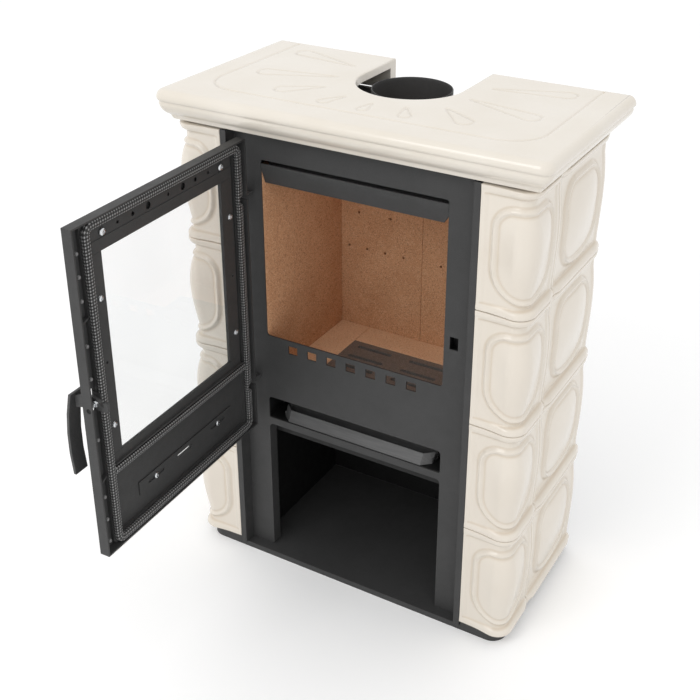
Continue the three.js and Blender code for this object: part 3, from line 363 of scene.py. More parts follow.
STRIP = 11.0                        # raised strip along the upright joints
ROLL = 14.5                         # half-round along the level joints
ROLL_FRONT = 1.5                    # how far the half-round stands out beside the front joint
ROLL_SIDE = 9.5                     # and round the corner and along the side
ROLL_AT_JOINT = 0.6                 # share of the half-round's height left at an upright joint
RING_HALF_WIDTH = 7.5               # moulded ring round the panel
RING_RISE = 6.0
PILLOW_FRONT = 4.0                  # crown of the panel
PILLOW_SIDE = 9.0
PANEL_RISE = 1.6                    # step inside the ring
BELLY = 4.0                         # swell of the whole face round the corner and along the side
FULLER_HIGH = 0.45                  # share by which crown and belly are fuller high up, and flatter low
JOINT_GAP = 0.7                     # half the open joint between two front tiles
FIELD = -2.2                        # ground between the ring and the strips
RING_POOL = 3.2                     # glaze pools this far to each side of the ring's foot
ROLL_POOL = 2.6                     # and of the half-round's foot
RING_HIGH = 187.0                   # over the foot of the tile
RING_LOW = 27.0
RING_LOW_CURVE = 60.0               # height of the ring's rounded lower part
TILE_HEIGHT = corner_high.z - corner_low.z
EDGE_R = 2.6                        # glazed arris


def ring_distance(a, z, half, corner, power):
    """Distance from the centre line of a tile's ring, negative inside; a is measured from its axis."""
    x = abs(a)
    knee = RING_HIGH - corner
    if z > knee:
        qx = max(x - (half - corner), 0.0)
        qz = z - knee
        return math.hypot(qx, qz) - corner if qx > 0 else z - RING_HIGH
    low = RING_LOW + RING_LOW_CURVE
    if z >= low:
        return x - half
    u = x / half
    v = (low - z) / RING_LOW_CURVE
    e = (u ** power + v ** power) ** (1 / power)
    slope = math.hypot((u ** (power - 1)) / half, (v ** (power - 1)) / RING_LOW_CURVE) * e ** (1 - power)
    return max((e - 1) / max(slope, 1e-6), -60.0)


def tile_height(s, z, length, centre, half, corner, power, turn):
    """Height of the glazed face over the tile's plane, and how much glaze pools there. The relief grows
    stronger between the two places of turn, where a corner tile rounds the corner."""
    swell = smoothstep(s, *turn)
    d = ring_distance(s - centre, z, half, corner, power)
    end = min(s, length - s)
    strip = -FIELD * (1 - smoothstep(end, STRIP - 3.5, STRIP + 2.5))
    into_roll = max(z - (TILE_HEIGHT - ROLL), ROLL - z)
    t = into_roll / ROLL
    rise = ROLL_FRONT + (ROLL_SIDE - ROLL_FRONT) * swell
    fade = ROLL_AT_JOINT + (1 - ROLL_AT_JOINT) * smoothstep(end, 2, 24)
    roll = (rise * fade - FIELD) * math.sqrt(max(1 - (1 - min(max(t * 1.35, 0.0), 1.0)) ** 2, 0.0))
    ring = RING_RISE * math.cos(0.5 * math.pi * min(abs(d) / RING_HALF_WIDTH, 1.0)) ** 2
    pillow = PILLOW_FRONT + (PILLOW_SIDE - PILLOW_FRONT) * swell
    u = (s - centre) / half
    v = (2 * z - RING_HIGH - RING_LOW) / (RING_HIGH - RING_LOW)
    crown = max(1 - u * u, 0.0) * max(1 - v * v, 0.0) * (1 + FULLER_HIGH * v)
    panel = smoothstep(-d, 1.0, 10.0) * PANEL_RISE + smoothstep(-d, 0.0, 14.0) * pillow * crown
    belly = BELLY * swell * max(1 - v * v, 0.0) * (1 + FULLER_HIGH * v)
    height = FIELD + max(strip, roll) + ring + panel + belly
    pool = max(1 - abs(abs(d) - RING_HALF_WIDTH) / RING_POOL, 0.0) * 0.8
    pool = max(pool, 1 - abs(into_roll) / ROLL_POOL if end > 6 else 0.0)
    edge = min(end, z, TILE_HEIGHT - z)
    arris = EDGE_R * (0.4 + 0.6 * swell)
    if edge < arris:
        height -= arris - math.sqrt(max(arris ** 2 - (arris - edge) ** 2, 0.0))
        pool = 0.0
    return height, max(pool, 0.0)


def stations(length, step):
    """Places along a tile, closer together over its rounded arris."""
    ends = [0.0, 0.25, 0.8, 1.6, EDGE_R]
    count = max(2, round((length - 2 * EDGE_R) / step))
    middle = [EDGE_R + (length - 2 * EDGE_R) * i / count for i in range(1, count)]
    return ends + middle + [length - e for e in reversed(ends)]


def corner_path(s):
    """Plan point and outward direction of the right corner tile, s millimetres from its front joint."""
    flat = TILE_FACE_X - TILE_CORNER_R - TILE_JOINT_X
    arc = TILE_CORNER_R * math.pi / 2
    if s < flat:
        return TILE_JOINT_X + s, TILE_FACE_Y, 0.0, -1.0
    if s < flat + arc:
        t = (s - flat) / TILE_CORNER_R
        x = TILE_FACE_X - TILE_CORNER_R + TILE_CORNER_R * math.sin(t)
        return x, TILE_FACE_Y + TILE_CORNER_R * (1 - math.cos(t)), math.sin(t), -math.cos(t)
    return TILE_FACE_X, TILE_FACE_Y + TILE_CORNER_R + s - flat - arc, 1.0, 0.0


def side_path(s):
    return TILE_FACE_X, side_low.y + s, 1.0, 0.0


CORNER_LENGTH = ((TILE_FACE_X - TILE_CORNER_R - TILE_JOINT_X) + TILE_CORNER_R * math.pi / 2
                 + (SIDE_JOINT_Y - TILE_FACE_Y - TILE_CORNER_R))
SIDE_LENGTH = TILE_REAR_Y - side_low.y
GRID = 2.3                          # between two points of a tile's face


def tile_mesh(path, length, form, side, foot):
    """Points and faces of a tile, and how much glaze pools at each point."""
    turn = form[-1]
    across = stations(length, GRID)
    up = stations(TILE_HEIGHT, GRID)
    rows = len(up)
    verts = []
    pools = []
    for s in across:
        x, y, nx, ny = path(s)
        gap = JOINT_GAP * (1 - smoothstep(s, *turn))
        for z in up:
            h, pool = tile_height(s, z, length, *form)
            verts.append((side * (x + nx * h), y + ny * h, foot + gap + z * (1 - 2 * gap / TILE_HEIGHT)))
            pools.append(pool)
    front = len(verts)
    for s in across:
        x, y, nx, ny = path(s)
        gap = JOINT_GAP * (1 - smoothstep(s, *turn))
        for z in (gap, TILE_HEIGHT - gap):
            verts.append((side * (x - nx * TILE_WALL), y - ny * TILE_WALL, foot + z))
            pools.append(0.0)
    faces = []
    for i in range(len(across) - 1):
        a = i * rows
        b = a + rows
        faces += [(a + j, b + j, b + j + 1, a + j + 1) for j in range(rows - 1)]
        p = front + 2 * i
        faces += [(p, p + 1, p + 3, p + 2), (a, p, p + 2, b), (a + rows - 1, b + rows - 1, p + 3, p + 1)]
    last = (len(across) - 1) * rows
    tail = front + 2 * (len(across) - 1)
    faces.append(tuple(range(rows)) + (front + 1, front))
    faces.append(tuple(range(last, last + rows)) + (tail + 1, tail))
    return verts, faces, pools


# Middle of the ring, its half width, its upper corner radius, the power of its lower curve, and the
# two places between which the relief grows stronger. A side tile has the full relief all along.
CORNER_FORM = (CORNER_LENGTH / 2, CORNER_LENGTH / 2 - 27.0, 34.0, 2.2, (22.0, 92.0))
SIDE_FORM = (SIDE_LENGTH / 2, SIDE_LENGTH / 2 - 33.0, 46.0, 2.3, (-2.0, -1.0))

for label, side in (("left", -1), ("right", 1)):
    for course in range(1, COURSES + 1):
        for kind, path, length, form in (("corner", corner_path, CORNER_LENGTH, CORNER_FORM),
                                         ("side", side_path, SIDE_LENGTH, SIDE_FORM)):
            node = f"{kind}_tile_{label}_{course}"
            foot = box_mm(node)[0].z
            verts, faces, pools = tile_mesh(path, length, form, side, foot)
            tile = mesh_object(f"relief_{node}", verts, faces, GLAZE, "stove", [node], smooth=50.0)
            layer = tile.data.attributes.new("pool", "FLOAT", "POINT")
            layer.data.foreach_set("value", pools)


# ---------------------------------------------------------------- ceramic top

SLAB_TOP = top_high.z
SLAB_FOOT = top_low.z
SLAB_SIDE = top_high.x
SLAB_FRONT = top_low.y
SLAB_REAR = top_high.y
SLAB_CORNER_R = 22.0
SLAB_PLATE = 15.0                   # thickness over the hollow underside
SLAB_RIM = 42.0
SLAB_ARRIS = 3.2                    # round over the upper edge at the cut-out and the rear
FLUE_Y = (collar_low.y + collar_high.y) / 2
CUT_R = 102.0
PAST = 5.0                          # how far a cutter reaches past what it cuts

# Edge moulding from the top down: how far in from the widest line, and how far below the top.
MOULDING = [(15, 0), (11.6, 0.4), (8.4, 1.5), (5.6, 3.4), (3.3, 6.0), (1.6, 9.0), (0.6, 12.2),
            (0.2, 15.2), (0.8, 17.6), (2.4, 19.6), (3.9, 20.7), (4.5, 22.0), (4.2, 23.6), (3.9, 25.8),
            (4.3, 28.4), (5.4, 31.6), (7.3, 35.2), (10.0, 38.8), (13.2, 42.0), (16.6, 44.6),
            (19.6, 46.6), (21.6, 48.8), (22.6, 51.4), (23.6, 53.8), (25, SLAB_TOP - SLAB_FOOT)]


def slab_plan(inset):
    r = max(SLAB_CORNER_R - inset, 5.0)
    return rounded(-SLAB_SIDE + inset, SLAB_SIDE - inset, SLAB_FRONT + inset, SLAB_REAR, (r, r, 0, 0), 12)


def slab_body():
    rings = [[(x, y, SLAB_TOP - drop) for x, y in slab_plan(inset)] for inset, drop in MOULDING]
    n = len(rings[0])
    verts = [v for ring in rings for v in ring]
    faces = []
    for k in range(len(rings) - 1):
        for i in range(n):
            a = k * n + i
            b = k * n + (i + 1) % n
            faces.append((a, a + n, b + n, b))
    faces.append(tuple(range(n)))
    last = (len(rings) - 1) * n
    faces.append(tuple(range(last, last + n))[::-1])
    return verts, faces


def plain_object(name, verts, faces):
    """A bare solid, for carved() to cut from or to cut with."""
    mesh = bpy.data.meshes.new(name)
    mesh.from_pydata([Vector(v) * MM for v in verts], [], faces)
    face_outwards(mesh)
    made = bpy.data.objects.new(name, mesh)
    bpy.context.scene.collection.objects.link(made)
    return made


def carved(body, cutters):
    """The body's mesh with the cutters taken out of it; all the helpers are removed again."""
    for cutter in cutters:
        cut = body.modifiers.new("cut", "BOOLEAN")
        cut.operation = "DIFFERENCE"
        cut.solver = "EXACT"
        cut.object = cutter
    graph = bpy.context.evaluated_depsgraph_get()
    mesh = bpy.data.meshes.new_from_object(body.evaluated_get(graph))
    for helper in [body] + cutters:
        bpy.data.objects.remove(helper)
    return mesh


def u_plan(r):
    """Plan of the cut-out: half round about the flue, and open to the rear."""
    points = [(-r, SLAB_REAR + PAST), (-r, FLUE_Y)]
    points += [(r * math.cos(t), FLUE_Y + r * math.sin(t)) for t in
               [math.pi + math.pi * i / 48 for i in range(1, 48)]]
    return points + [(r, FLUE_Y), (r, SLAB_REAR + PAST)]


# Engraved lines of the top: a border, and petals that open away from the flue. A petal has its angle
# in degrees, its two ends from the flue's axis and its half width, and its mirror image.
BORDER_X = 320.0
BORDER_Y = back(38.0)
BORDER_R = 68.0
PETALS = [(14.0, 147.0, 298.0, 18.0), (-16.5, 140.0, 292.0, 18.0), (-41.0, 160.0, 250.0, 16.0),
          (-66.0, 148.0, 204.0, 11.0), (-90.0, 146.0, 190.0, 10.0)]
GROOVE = 3.4                        # half width of an engraved line
GROOVE_DEPTH = 1.5
GROOVE_POOL = 0.12                  # how much glaze pools in it


def border_distance(x, y):
    qx = abs(x) - (BORDER_X - BORDER_R)
    qy = (BORDER_Y + BORDER_R) - y
    if qx > 0 and qy > 0:
        return abs(math.hypot(qx, qy) - BORDER_R)
    return abs(max(qx, qy) - BORDER_R)


def petal_distance(x, y, petal):
    """Distance from the outline of a drop that points at the flue."""
    angle, start, end, half = petal
    t = math.radians(angle)
    along = abs(x) * math.cos(t) + (y - FLUE_Y) * math.sin(t)
    across = abs(-abs(x) * math.sin(t) + (y - FLUE_Y) * math.cos(t))
    neck = end - half
    if along > neck:
        return abs(math.hypot(along - neck, across) - half)
    share = (along - start) / (neck - start)
    if share < 0:
        return math.hypot(along - start, across)
    return abs(across - half * math.sqrt(share) * (0.55 + 0.45 * share))


def engraved(x, y):
    """Depth of the engraving at a place of the top, as a share of its full depth."""
    near = border_distance(x, y)
    for petal in PETALS:
        near = min(near, petal_distance(x, y, petal))
    return 0.5 + 0.5 * math.cos(math.pi * min(near / GROOVE, 1.0))


def ceramic_top():
    body = plain_object("slab", *slab_body())
    inner = slab_plan(SLAB_RIM)
    hollow = [(x, min(y, SLAB_REAR - SLAB_RIM / 2)) for x, y in inner]
    cutters = [plain_object("hollow", *prism(hollow, SLAB_FOOT - PAST, SLAB_TOP - SLAB_PLATE)),
               plain_object("notch", *prism(u_plan(CUT_R), SLAB_FOOT - PAST, SLAB_TOP + PAST))]
    mesh = carved(body, cutters)
    bm = bmesh.new()
    bm.from_mesh(mesh)
    bmesh.ops.dissolve_limit(bm, angle_limit=math.radians(0.5), verts=bm.verts, edges=bm.edges)
    top = SLAB_TOP * MM
    flat = [f for f in bm.faces if f.normal.z > 0.99 and abs(f.calc_center_median().z - top) < 1e-5]
    rims = [e for f in flat for e in f.edges
            if any(abs(other.normal.z) < 0.2 for other in e.link_faces)]
    bmesh.ops.bevel(bm, geom=list(set(rims)), offset=SLAB_ARRIS * MM, segments=4, profile=0.5,
                    affect="EDGES")
    flat = [f for f in bm.faces if f.normal.z > 0.999 and abs(f.calc_center_median().z - top) < 1e-6
            and f.calc_area() > 0.01]
    loops = list({e for f in flat for e in f.edges if len([g for g in e.link_faces if g in flat]) == 1})
    bmesh.ops.delete(bm, geom=flat, context="FACES_ONLY")
    fill_top(bm, loops, top)
    bmesh.ops.remove_doubles(bm, verts=bm.verts, dist=1e-6)
    layer = bm.verts.layers.float.new("pool")
    for v in bm.verts:
        if abs(v.co.z - top) < 1e-6:
            depth = engraved(v.co.x / MM, v.co.y / MM)
            v.co.z -= depth * GROOVE_DEPTH * MM
            v[layer] = depth * GROOVE_POOL
    bmesh.ops.recalc_face_normals(bm, faces=bm.faces)
    bm.to_mesh(mesh)
    bm.free()
    piece = bpy.data.objects.new("moulded_top", mesh)
    return dress(piece, TOP_GLAZE, "stove", ["ceramic_top"], 40.0)


def fill_top(bm, loops, top):
    """Fills the flat top with a fine square net, and the strip round it with triangles."""
    step = 2.2
    margin = 4.0                        # between the net and the edge of the flat
    corner_r = 14
    x_max = SLAB_SIDE - MOULDING[0][0] - margin
    y_min = SLAB_FRONT + MOULDING[0][0] + margin
    y_max = SLAB_REAR - SLAB_ARRIS - margin
    nx = int(2 * x_max / step)
    ny = int((y_max - y_min) / step)
    net = {}
    r = CUT_R + SLAB_ARRIS + margin
    for i in range(nx + 1):
        for j in range(ny + 1):
            x = -x_max + 2 * x_max * i / nx
            y = y_min + (y_max - y_min) * j / ny
            inside_cut = abs(x) < r and (y > FLUE_Y or math.hypot(x, y - FLUE_Y) < r)
            past_x = max(abs(x) - (x_max - corner_r), 0)
            past_y = max((y_min + corner_r) - y, 0)
            if not inside_cut and math.hypot(past_x, past_y) <= corner_r:
                net[i, j] = bm.verts.new((x * MM, y * MM, top))
    made = []
    for i, j in net:
        ring = [(i, j), (i + 1, j), (i + 1, j + 1), (i, j + 1)]
        if all(k in net for k in ring):
            made.append(bm.faces.new([net[k] for k in ring]))
    for v in [v for v in net.values() if not v.link_faces]:
        bm.verts.remove(v)
    edge = {e for f in made for e in f.edges if len(e.link_faces) == 1}
    bmesh.ops.triangle_fill(bm, edges=list(edge) + loops, use_beauty=True, use_dissolve=False,
                            normal=(0, 0, 1))


ceramic_top()


# ---------------------------------------------------------------- flue collar


COLLAR_R = 75.0
COLLAR_BORE_R = 72.5
COLLAR_STEPS = 6                    # level rings of the straight part
SEAM_TURN = math.radians(286)       # where the welded seam runs
SEAM_RISE = 0.9
SEAM_WIDTH = 2.2


def seam(t, r):
    """Rise of the welded seam, on the outside of the collar alone."""
    turn = (t - SEAM_TURN + math.pi) % (2 * math.pi) - math.pi
    if COLLAR_R - 0.5 < r < COLLAR_R + 1:
        return SEAM_RISE * math.exp(-(turn * COLLAR_R / SEAM_WIDTH) ** 2)
    return 0.0


def flue_collar():
    """Rolled collar with a flange, a turned lip and one welded seam."""
    foot = collar_low.z
    head = collar_high.z
    flange = collar_high.x
    outer = COLLAR_R
    inner = COLLAR_BORE_R
    straight = [foot + 6.5 + (head - foot - 8) * i / COLLAR_STEPS for i in range(1, COLLAR_STEPS + 1)]
    profile = [(inner, foot), (flange - 1, foot), (flange, foot + 1), (flange - 1, foot + 3),
               (outer + 2.5, foot + 3), (outer + 0.7, foot + 4), (outer, foot + 6.5)]
    profile += [(outer, z) for z in straight]
    profile += [(outer - 0.4, head - 0.4), (outer - 1.2, head), (inner + 0.4, head - 0.4),
                (inner, head - 1.5)]
    profile += [(inner, z) for z in reversed(straight[:-1])]
    verts, faces = lathe(profile, 160, (0.0, FLUE_Y), seam)
    return mesh_object("rolled_flue_collar", verts, faces, PAINT, "stove", ["flue_collar"])


flue_collar()


# ---------------------------------------------------------------- base


STORE_FLOOR = 12.7
TRAY_STEEL = 3.0
TRAY_CORNER_R = 30.0


def tray_plan(inset):
    r = TRAY_CORNER_R - inset
    half = base_high.x
    return rounded(-half + inset, half - inset, base_low.y + inset, base_high.y - inset, (r, r, 0, 0), 18)


def base_tray():
    """Folded tray whose middle, between the tiles, is lowered to the log store's floor."""
    half = TILE_JOINT_X
    middle = rounded(-half, half, base_low.y - PAST, base_high.y + PAST, (0, 0, 0, 0))
    body = plain_object("tray", *prism(tray_plan(0), 0, base_high.z))
    cutters = [plain_object("floor_cut", *prism(middle, STORE_FLOOR, base_high.z + PAST)),
               plain_object("tray_hollow", *prism(tray_plan(TRAY_STEEL), -PAST, STORE_FLOOR - TRAY_STEEL))]
    piece = bpy.data.objects.new("rounded_base_tray", carved(body, cutters))
    return soften(dress(piece, PAINT, "stove", ["base_tray"]), 0.8)


base_tray()


# ---------------------------------------------------------------- door pieces

DOOR_OPEN = math.radians(88.24)
PIN_X = -225.0
DOOR = Matrix.Translation((PIN_X, TILE_FACE_Y, 0)) @ Matrix.Rotation(-DOOR_OPEN, 4, "Z")
ROPE_BACK = 17.0                    # depth of the rope behind the hinge pin
ROPE_FACE = 26.3
ROPE_WIDTH = 15.0
MIDDLE_ROPE = 14.0                  # width and depth of the rope under the glass
LUG_HEIGHTS = (418.0, 804.0)
LUG_SIDE = 60.0                     # a lug reaches the rope only nearer the pin than this
LUG_PUSH = 4.6                      # how far it pushes the rope's middle aside
LUG_PINCH = 0.6                     # share of the rope's width that it takes
STRIP_BACK = 18.4                   # face of the glass strips behind the hinge pin


def pressed(p):
    """How hard a hinge lug presses into the rope at a point of its path, from 0 to 1."""
    if p.x > LUG_SIDE:
        return 0.0
    return max(1 - smoothstep(abs(p.z - z), 4.5, 10.0) for z in LUG_HEIGHTS)


def braid(name, path, closed, width, depth, replaced):
    """Flat braided rope along a path of points in the door's own axes (across, back, up)."""
    around = 32
    step = 1.35
    turns = 4                           # strands that wind each way
    pitch = 11.0                        # along the rope for a strand to pass to the next one's place
    points = resample(path, closed, step)
    n = len(points)
    verts = []
    strand_glint = []
    length = 0.0
    for i, p in enumerate(points):
        ahead = points[(i + 1) % n] if closed or i + 1 < n else p
        behind = points[i - 1] if closed or i > 0 else p
        run = (ahead - behind).normalized()
        out = Vector((0, 1, 0))
        aside = run.cross(out).normalized()
        length += (ahead - p).length
        press = pressed(p)
        middle = p + Vector((LUG_PUSH * press, 0, 0))
        wide = width * (1 - LUG_PINCH * press)
        for k in range(around):
            t = 2 * math.pi * k / around
            a = turns * t + 2 * math.pi * length / pitch
            b = turns * t - 2 * math.pi * length / pitch
            lift = 0.5 + 0.5 * math.cos(a) * math.cos(b)
            swell = 0.8 + 0.2 * lift
            square = (abs(math.cos(t)) ** 3 + abs(math.sin(t)) ** 3) ** (-1 / 3)
            r = swell * square
            spot = middle + aside * (0.5 * wide * r * math.cos(t)) + out * (0.5 * depth * r * math.sin(t))
            verts.append(tuple(spot))
            # The crest height of the strands, kept for the rope's painted glints.
            strand_glint.append(lift)
    faces = []
    for i in range(n if closed else n - 1):
        a = i * around
        b = ((i + 1) % n) * around
        faces += [(a + k, a + (k + 1) % around, b + (k + 1) % around, b + k) for k in range(around)]
    if not closed:
        faces += [tuple(range(around)), tuple(range((n - 1) * around, n * around))]
    piece = mesh_object(name, verts, faces, ROPE, "door", replaced, DOOR, smooth=None)
    layer = piece.data.attributes.new("strand_glint", "FLOAT", "POINT")
    layer.data.foreach_set("value", strand_glint)
    return piece


def resample(path, closed, step):
    """The same path in even steps."""
    ring = [Vector(p) for p in path]
    if closed:
        ring.append(ring[0])
    total = sum((b - a).length for a, b in zip(ring, ring[1:]))
    count = max(2, round(total / step))
    points = []
    k = 0
    walked = 0.0
    for i in range(count if closed else count + 1):
        want = total * i / count
        while k < len(ring) - 2 and walked + (ring[k + 1] - ring[k]).length < want:
            walked += (ring[k + 1] - ring[k]).length
            k += 1
        leg = (ring[k + 1] - ring[k]).length
        points.append(ring[k].lerp(ring[k + 1], min((want - walked) / leg, 1.0)))
    return points


rope_low, rope_high = box_mm("door_rope")
ROPE_HINGE_U = 20.0                 # middle of the rope beside the hinge
ROPE_FREE_U = 416.5                 # and beside the free edge
ROPE_INSIDE = 6.5                   # its middle inside the rope's lower and upper edges
ROPE_CORNER_R = 12
rope_y = (ROPE_BACK + ROPE_FACE) / 2
ring_plan = rounded(ROPE_HINGE_U, ROPE_FREE_U, rope_low.z + ROPE_INSIDE, rope_high.z - ROPE_INSIDE,
                    (ROPE_CORNER_R,) * 4, 8)
ring_path = [(u, rope_y, z) for u, z in ring_plan]
middle_path = [(28.5, 18.8, 468.5), (408.0, 18.8, 468.5)]
braid("braided_door_rope", ring_path, True, ROPE_WIDTH, ROPE_FACE - ROPE_BACK, ["door_rope"])
braid("braided_middle_rope", middle_path, False, MIDDLE_ROPE, MIDDLE_ROPE, ["door_rope_middle"])

# Across, up and head radius of the screws that hold the glass strips.
SCREWS = {"top_hinge": (67, 882, 6.6), "top_free": (376, 882, 6.6), "hinge_low": (47, 550, 5.6),
          "hinge_high": (47, 782, 5.6), "free_low": (395, 550, 5.6), "free_high": (395, 778, 5.6)}


def turned_on_door(name, profile, segments, spot, look, replaced=(), smooth=40.0):
    """Turned piece that stands out of the back of the door, on a spot across, back and up."""
    verts, faces = lathe(profile, segments)
    placed = [(spot[0] + x, spot[1] + h, spot[2] + y) for x, y, h in verts]
    return mesh_object(name, placed, faces, look, "door", replaced, DOOR, smooth)


def pan_head(name, u, z, r):
    """Domed screw head with a round socket."""
    rise = 3.9
    profile = [(0.01, rise - 1.4), (r * 0.34, rise - 1.4), (r * 0.38, rise - 0.1), (r * 0.5, rise),
               (r * 0.78, rise * 0.78), (r * 0.96, rise * 0.36), (r, 0.12 * rise), (r, 0.0), (0.01, 0.0)]
    turned_on_door(name, profile, 32, (u, STRIP_BACK, z), ZINC)


for label, (u, z, r) in SCREWS.items():
    pan_head(f"strip_screw_{label}", u, z, r)

# Studs in the channel along the free edge, and the bolt of the latch.
STUD_U = 437.0
STUD_HEIGHTS = (345, 389, 434, 545, 657, 715, 792, 832, 870)
STUD_END = 20.2
LATCH_U = 426.0
LATCH_Y = 21.5
LATCH_Z = 612.0


def stud(number, z):
    """Rounded end of a welded stud."""
    profile = [(0.01, 2.1), (1.7, 1.9), (2.8, 1.2), (3.2, 0.3), (3.2, -1.6), (0.01, -1.6)]
    turned_on_door(f"stud_{number}", profile, 20, (STUD_U, STUD_END, z), STUD, smooth=50.0)


def slide_screw(label):
    """Domed head and shank of a screw that the air slide runs under, where the frame has it."""
    node = f"slide_screw_{label}"
    low, high = box_mm(node)
    middle = DOOR.inverted() @ ((low + high) / 2)
    r = (high.z - low.z) / 2 - 0.1
    face = middle.y + (high.x - low.x) / 2
    end = low.x - high.x + 0.3
    profile = [(0.01, -2.2), (1.2, -2.2), (1.3, -0.3), (1.9, 0.0), (r * 0.75, -0.5), (r * 0.95, -1.3),
               (r, -2.2), (r, -2.8), (2.3, -2.8), (2.3, end), (0.01, end)]
    turned_on_door(f"domed_{node}", profile, 28, (middle.x, face, middle.z), ZINC, [node])


def washer():
    """Zinc ring between the latch lever and its bracket."""
    profile = [(4.4, 0.0), (5.4, 0.0), (5.7, 0.3), (5.7, 0.8), (5.4, 1.1), (4.4, 1.1)]
    verts, faces = lathe(profile, 40)
    turned = [(LATCH_U + h, LATCH_Y + x, LATCH_Z + y) for x, y, h in verts]
    mesh_object("latch_washer", turned, faces, ZINC, "door", place=DOOR, smooth=40.0)


for number, z in enumerate(STUD_HEIGHTS, 1):
    stud(number, z)
washer()
slide_screw("left")
slide_screw("right")


# ---------------------------------------------------------------- finishes of the frame's own nodes


def refinish(names, look, width):
    """Gives the frame's own nodes their finish, and rounds their edges by a width."""
    for name in names:
        piece = nodes[name]
        piece.data.materials.clear()
        piece.data.materials.append(look[0])
        weld = piece.modifiers.new("weld", "WELD")
        weld.merge_threshold = 1e-5
        flat = piece.modifiers.new("flat", "DECIMATE")
        flat.decimate_type = "DISSOLVE"
        flat.angle_limit = math.radians(0.6)
        soften(piece, width)


refinish(["side_panel_left", "side_panel_right", "front_plate", "top_plate", "rear_shield"], PAINT, 0.9)
# Painted shade: the inner steel takes the near-black copy of the paint.
refinish(["firebox_shell", "ash_chamber", "air_duct", "store_liner"], SHADE_PAINT, 0.6)
refinish(["deflector"], PAINT, 0.6)
refinish(["hinge_lug_lower", "hinge_lug_upper", "door_pan", "latch_bracket"], PAINT, 0.6)
refinish(["glass_strip_top", "glass_strip_hinge", "glass_strip_free", "glass_strip_bottom"], PAINT, 0.4)
refinish(["air_slide"], PAINT, 0.7)
# Painted light: the latch lever takes the lighter copy of the stove paint.
refinish(["latch_handle"], LATCH_PAINT_LIT, 0.9)
refinish(["latch_bolt", "latch_nut"], ZINC, 0.4)
# Painted light: the hearth boards take the paler copy of the fireclay.
refinish([n for n in nodes if n.startswith("lining_floor")], HEARTH_CLAY_LIT, 1.2)
refinish(["lining_left", "lining_right", "lining_back_left", "lining_back_right", "baffle"], FIRECLAY, 1.2)
refinish(["grate"], CAST, 0.8)
refinish(["ash_pan"], PAN, 0.3)
refinish(["door_glass"], GLASS, 0.5)


# ---------------------------------------------------------------- catch pocket, lined with painted shade


def painted_shade_in_catch_pocket():
    """Thin near-black lining of the pocket behind the catch slot, open to the front: a sheet of painted
    shade, so that the slot shows black.
    """
    steel = 0.6
    x0, x1 = 196.6, 214.2
    y0, y1 = back(30.2), back(47.5)
    z0, z1 = 588.5, 626.5
    outer = plain_object("pocket", *prism(rounded(x0, x1, y0, y1, (0, 0, 0, 0)), z0, z1))
    inner = rounded(x0 + steel, x1 - steel, y0 - 1, y1 - steel, (0, 0, 0, 0))
    mesh = carved(outer, [plain_object("pocket_inside", *prism(inner, z0 + steel, z1 - steel))])
    return dress(bpy.data.objects.new("painted_shade_in_catch_pocket", mesh), SHADE_PAINT, "stove", smooth=30.0)


painted_shade_in_catch_pocket()


# ---------------------------------------------------------------- floor, light and camera


def straight_look(tree):
    """1 for a ray that the camera, a reflection or the door's glass sends, 0 for light on the stove."""
    path = tree.nodes.new("ShaderNodeLightPath").outputs
    seen = path["Is Camera Ray"]
    for kind in ("Is Glossy Ray", "Is Transmission Ray"):
        more = tree.nodes.new("ShaderNodeMath")
        more.operation = "MAXIMUM"
        tree.links.new(seen, more.inputs[0])
        tree.links.new(path[kind], more.inputs[1])
        seen = more.outputs[0]
    return seen


SKY_ON_STOVE = 0.95                 # strength of the white sky as light
SKY_SEEN = 1.0                      # and as background
FLOOR_GLOW = 0.12                   # of the floor as background, so that it renders white


def soft_light(name, spot, aim, size, power):
    data = bpy.data.lights.new(name, "AREA")
    data.shape = "RECTANGLE"
    data.size, data.size_y = size
    data.energy = power
    lamp = bpy.data.objects.new(name, data)
    lamp.location = spot
    lamp.rotation_euler = (Vector(aim) - Vector(spot)).to_track_quat("-Z", "Y").to_euler()
    bpy.context.scene.collection.objects.link(lamp)


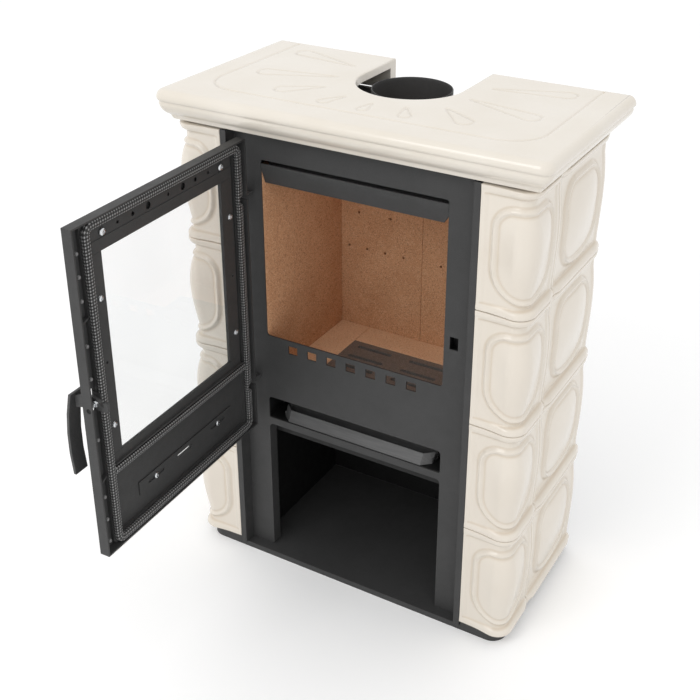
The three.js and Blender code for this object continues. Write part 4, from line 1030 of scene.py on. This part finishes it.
def studio():
    """White floor and sky in metres, with one soft lamp in front of the stove."""
    mesh = bpy.data.meshes.new("floor")
    far = 30.0
    mesh.from_pydata([(-far, -far, 0), (far, -far, 0), (far, far, 0), (-far, far, 0)], [], [(0, 1, 2, 3)])
    floor = bpy.data.objects.new("floor", mesh)
    bpy.context.scene.collection.objects.link(floor)
    look = Finish("pale floor", None, Roughness=0.9, Emission_Color=(1, 1, 1, 1))
    seen = straight_look(look.tree)
    look.set("Base Color", look.mix(seen, "#F0F0F0", "#FAFAFA"))
    look.set("Emission Strength", look.range(seen, 0, 1, 0, FLOOR_GLOW))
    mesh.materials.append(look.material)

    world = bpy.data.worlds.new("studio")
    bpy.context.scene.world = world
    world.use_nodes = True
    tree = world.node_tree
    sky = tree.nodes["Background"]
    sky.inputs["Color"].default_value = (1, 1, 1, 1)
    level = tree.nodes.new("ShaderNodeMapRange")
    level.inputs["To Min"].default_value = SKY_ON_STOVE
    level.inputs["To Max"].default_value = SKY_SEEN
    tree.links.new(straight_look(tree), level.inputs["Value"])
    tree.links.new(level.outputs[0], sky.inputs["Strength"])

    soft_light("key", spot=(-0.7, -3.0, 3.1), aim=(0, 0, 0.5), size=(1.8, 1.4), power=30)


def camera():
    """The photograph's view: it looks 29 degrees to the left of straight back, and 26 degrees down.
    Pixels are those of a frame 700 wide and high, angles radians and places metres."""
    focal_px = 1141.2
    yaw = 0.5132
    pitch = 0.4541
    roll = 0.0069
    centre = (372.1, 272.0)
    frame_px = 700.0
    spot = (0.92308, -1.70527, 1.57898)
    level = math.cos(pitch)
    forward = Vector((-math.sin(yaw) * level, math.cos(yaw) * level, -math.sin(pitch)))
    data = bpy.data.cameras.new("view")
    data.sensor_width = 36.0
    data.lens = 36.0 * focal_px / frame_px
    data.shift_x = (frame_px / 2 - centre[0]) / frame_px
    data.shift_y = -(frame_px / 2 - centre[1]) / frame_px
    data.clip_end = 60.0
    view = bpy.data.objects.new("view", data)
    view.location = spot
    turn = forward.to_track_quat("-Z", "Y").to_matrix() @ Matrix.Rotation(roll, 3, "Z")
    view.rotation_euler = turn.to_euler()
    bpy.context.scene.collection.objects.link(view)
    bpy.context.scene.camera = view
    bpy.context.scene.view_settings.view_transform = "Standard"


studio()
camera()
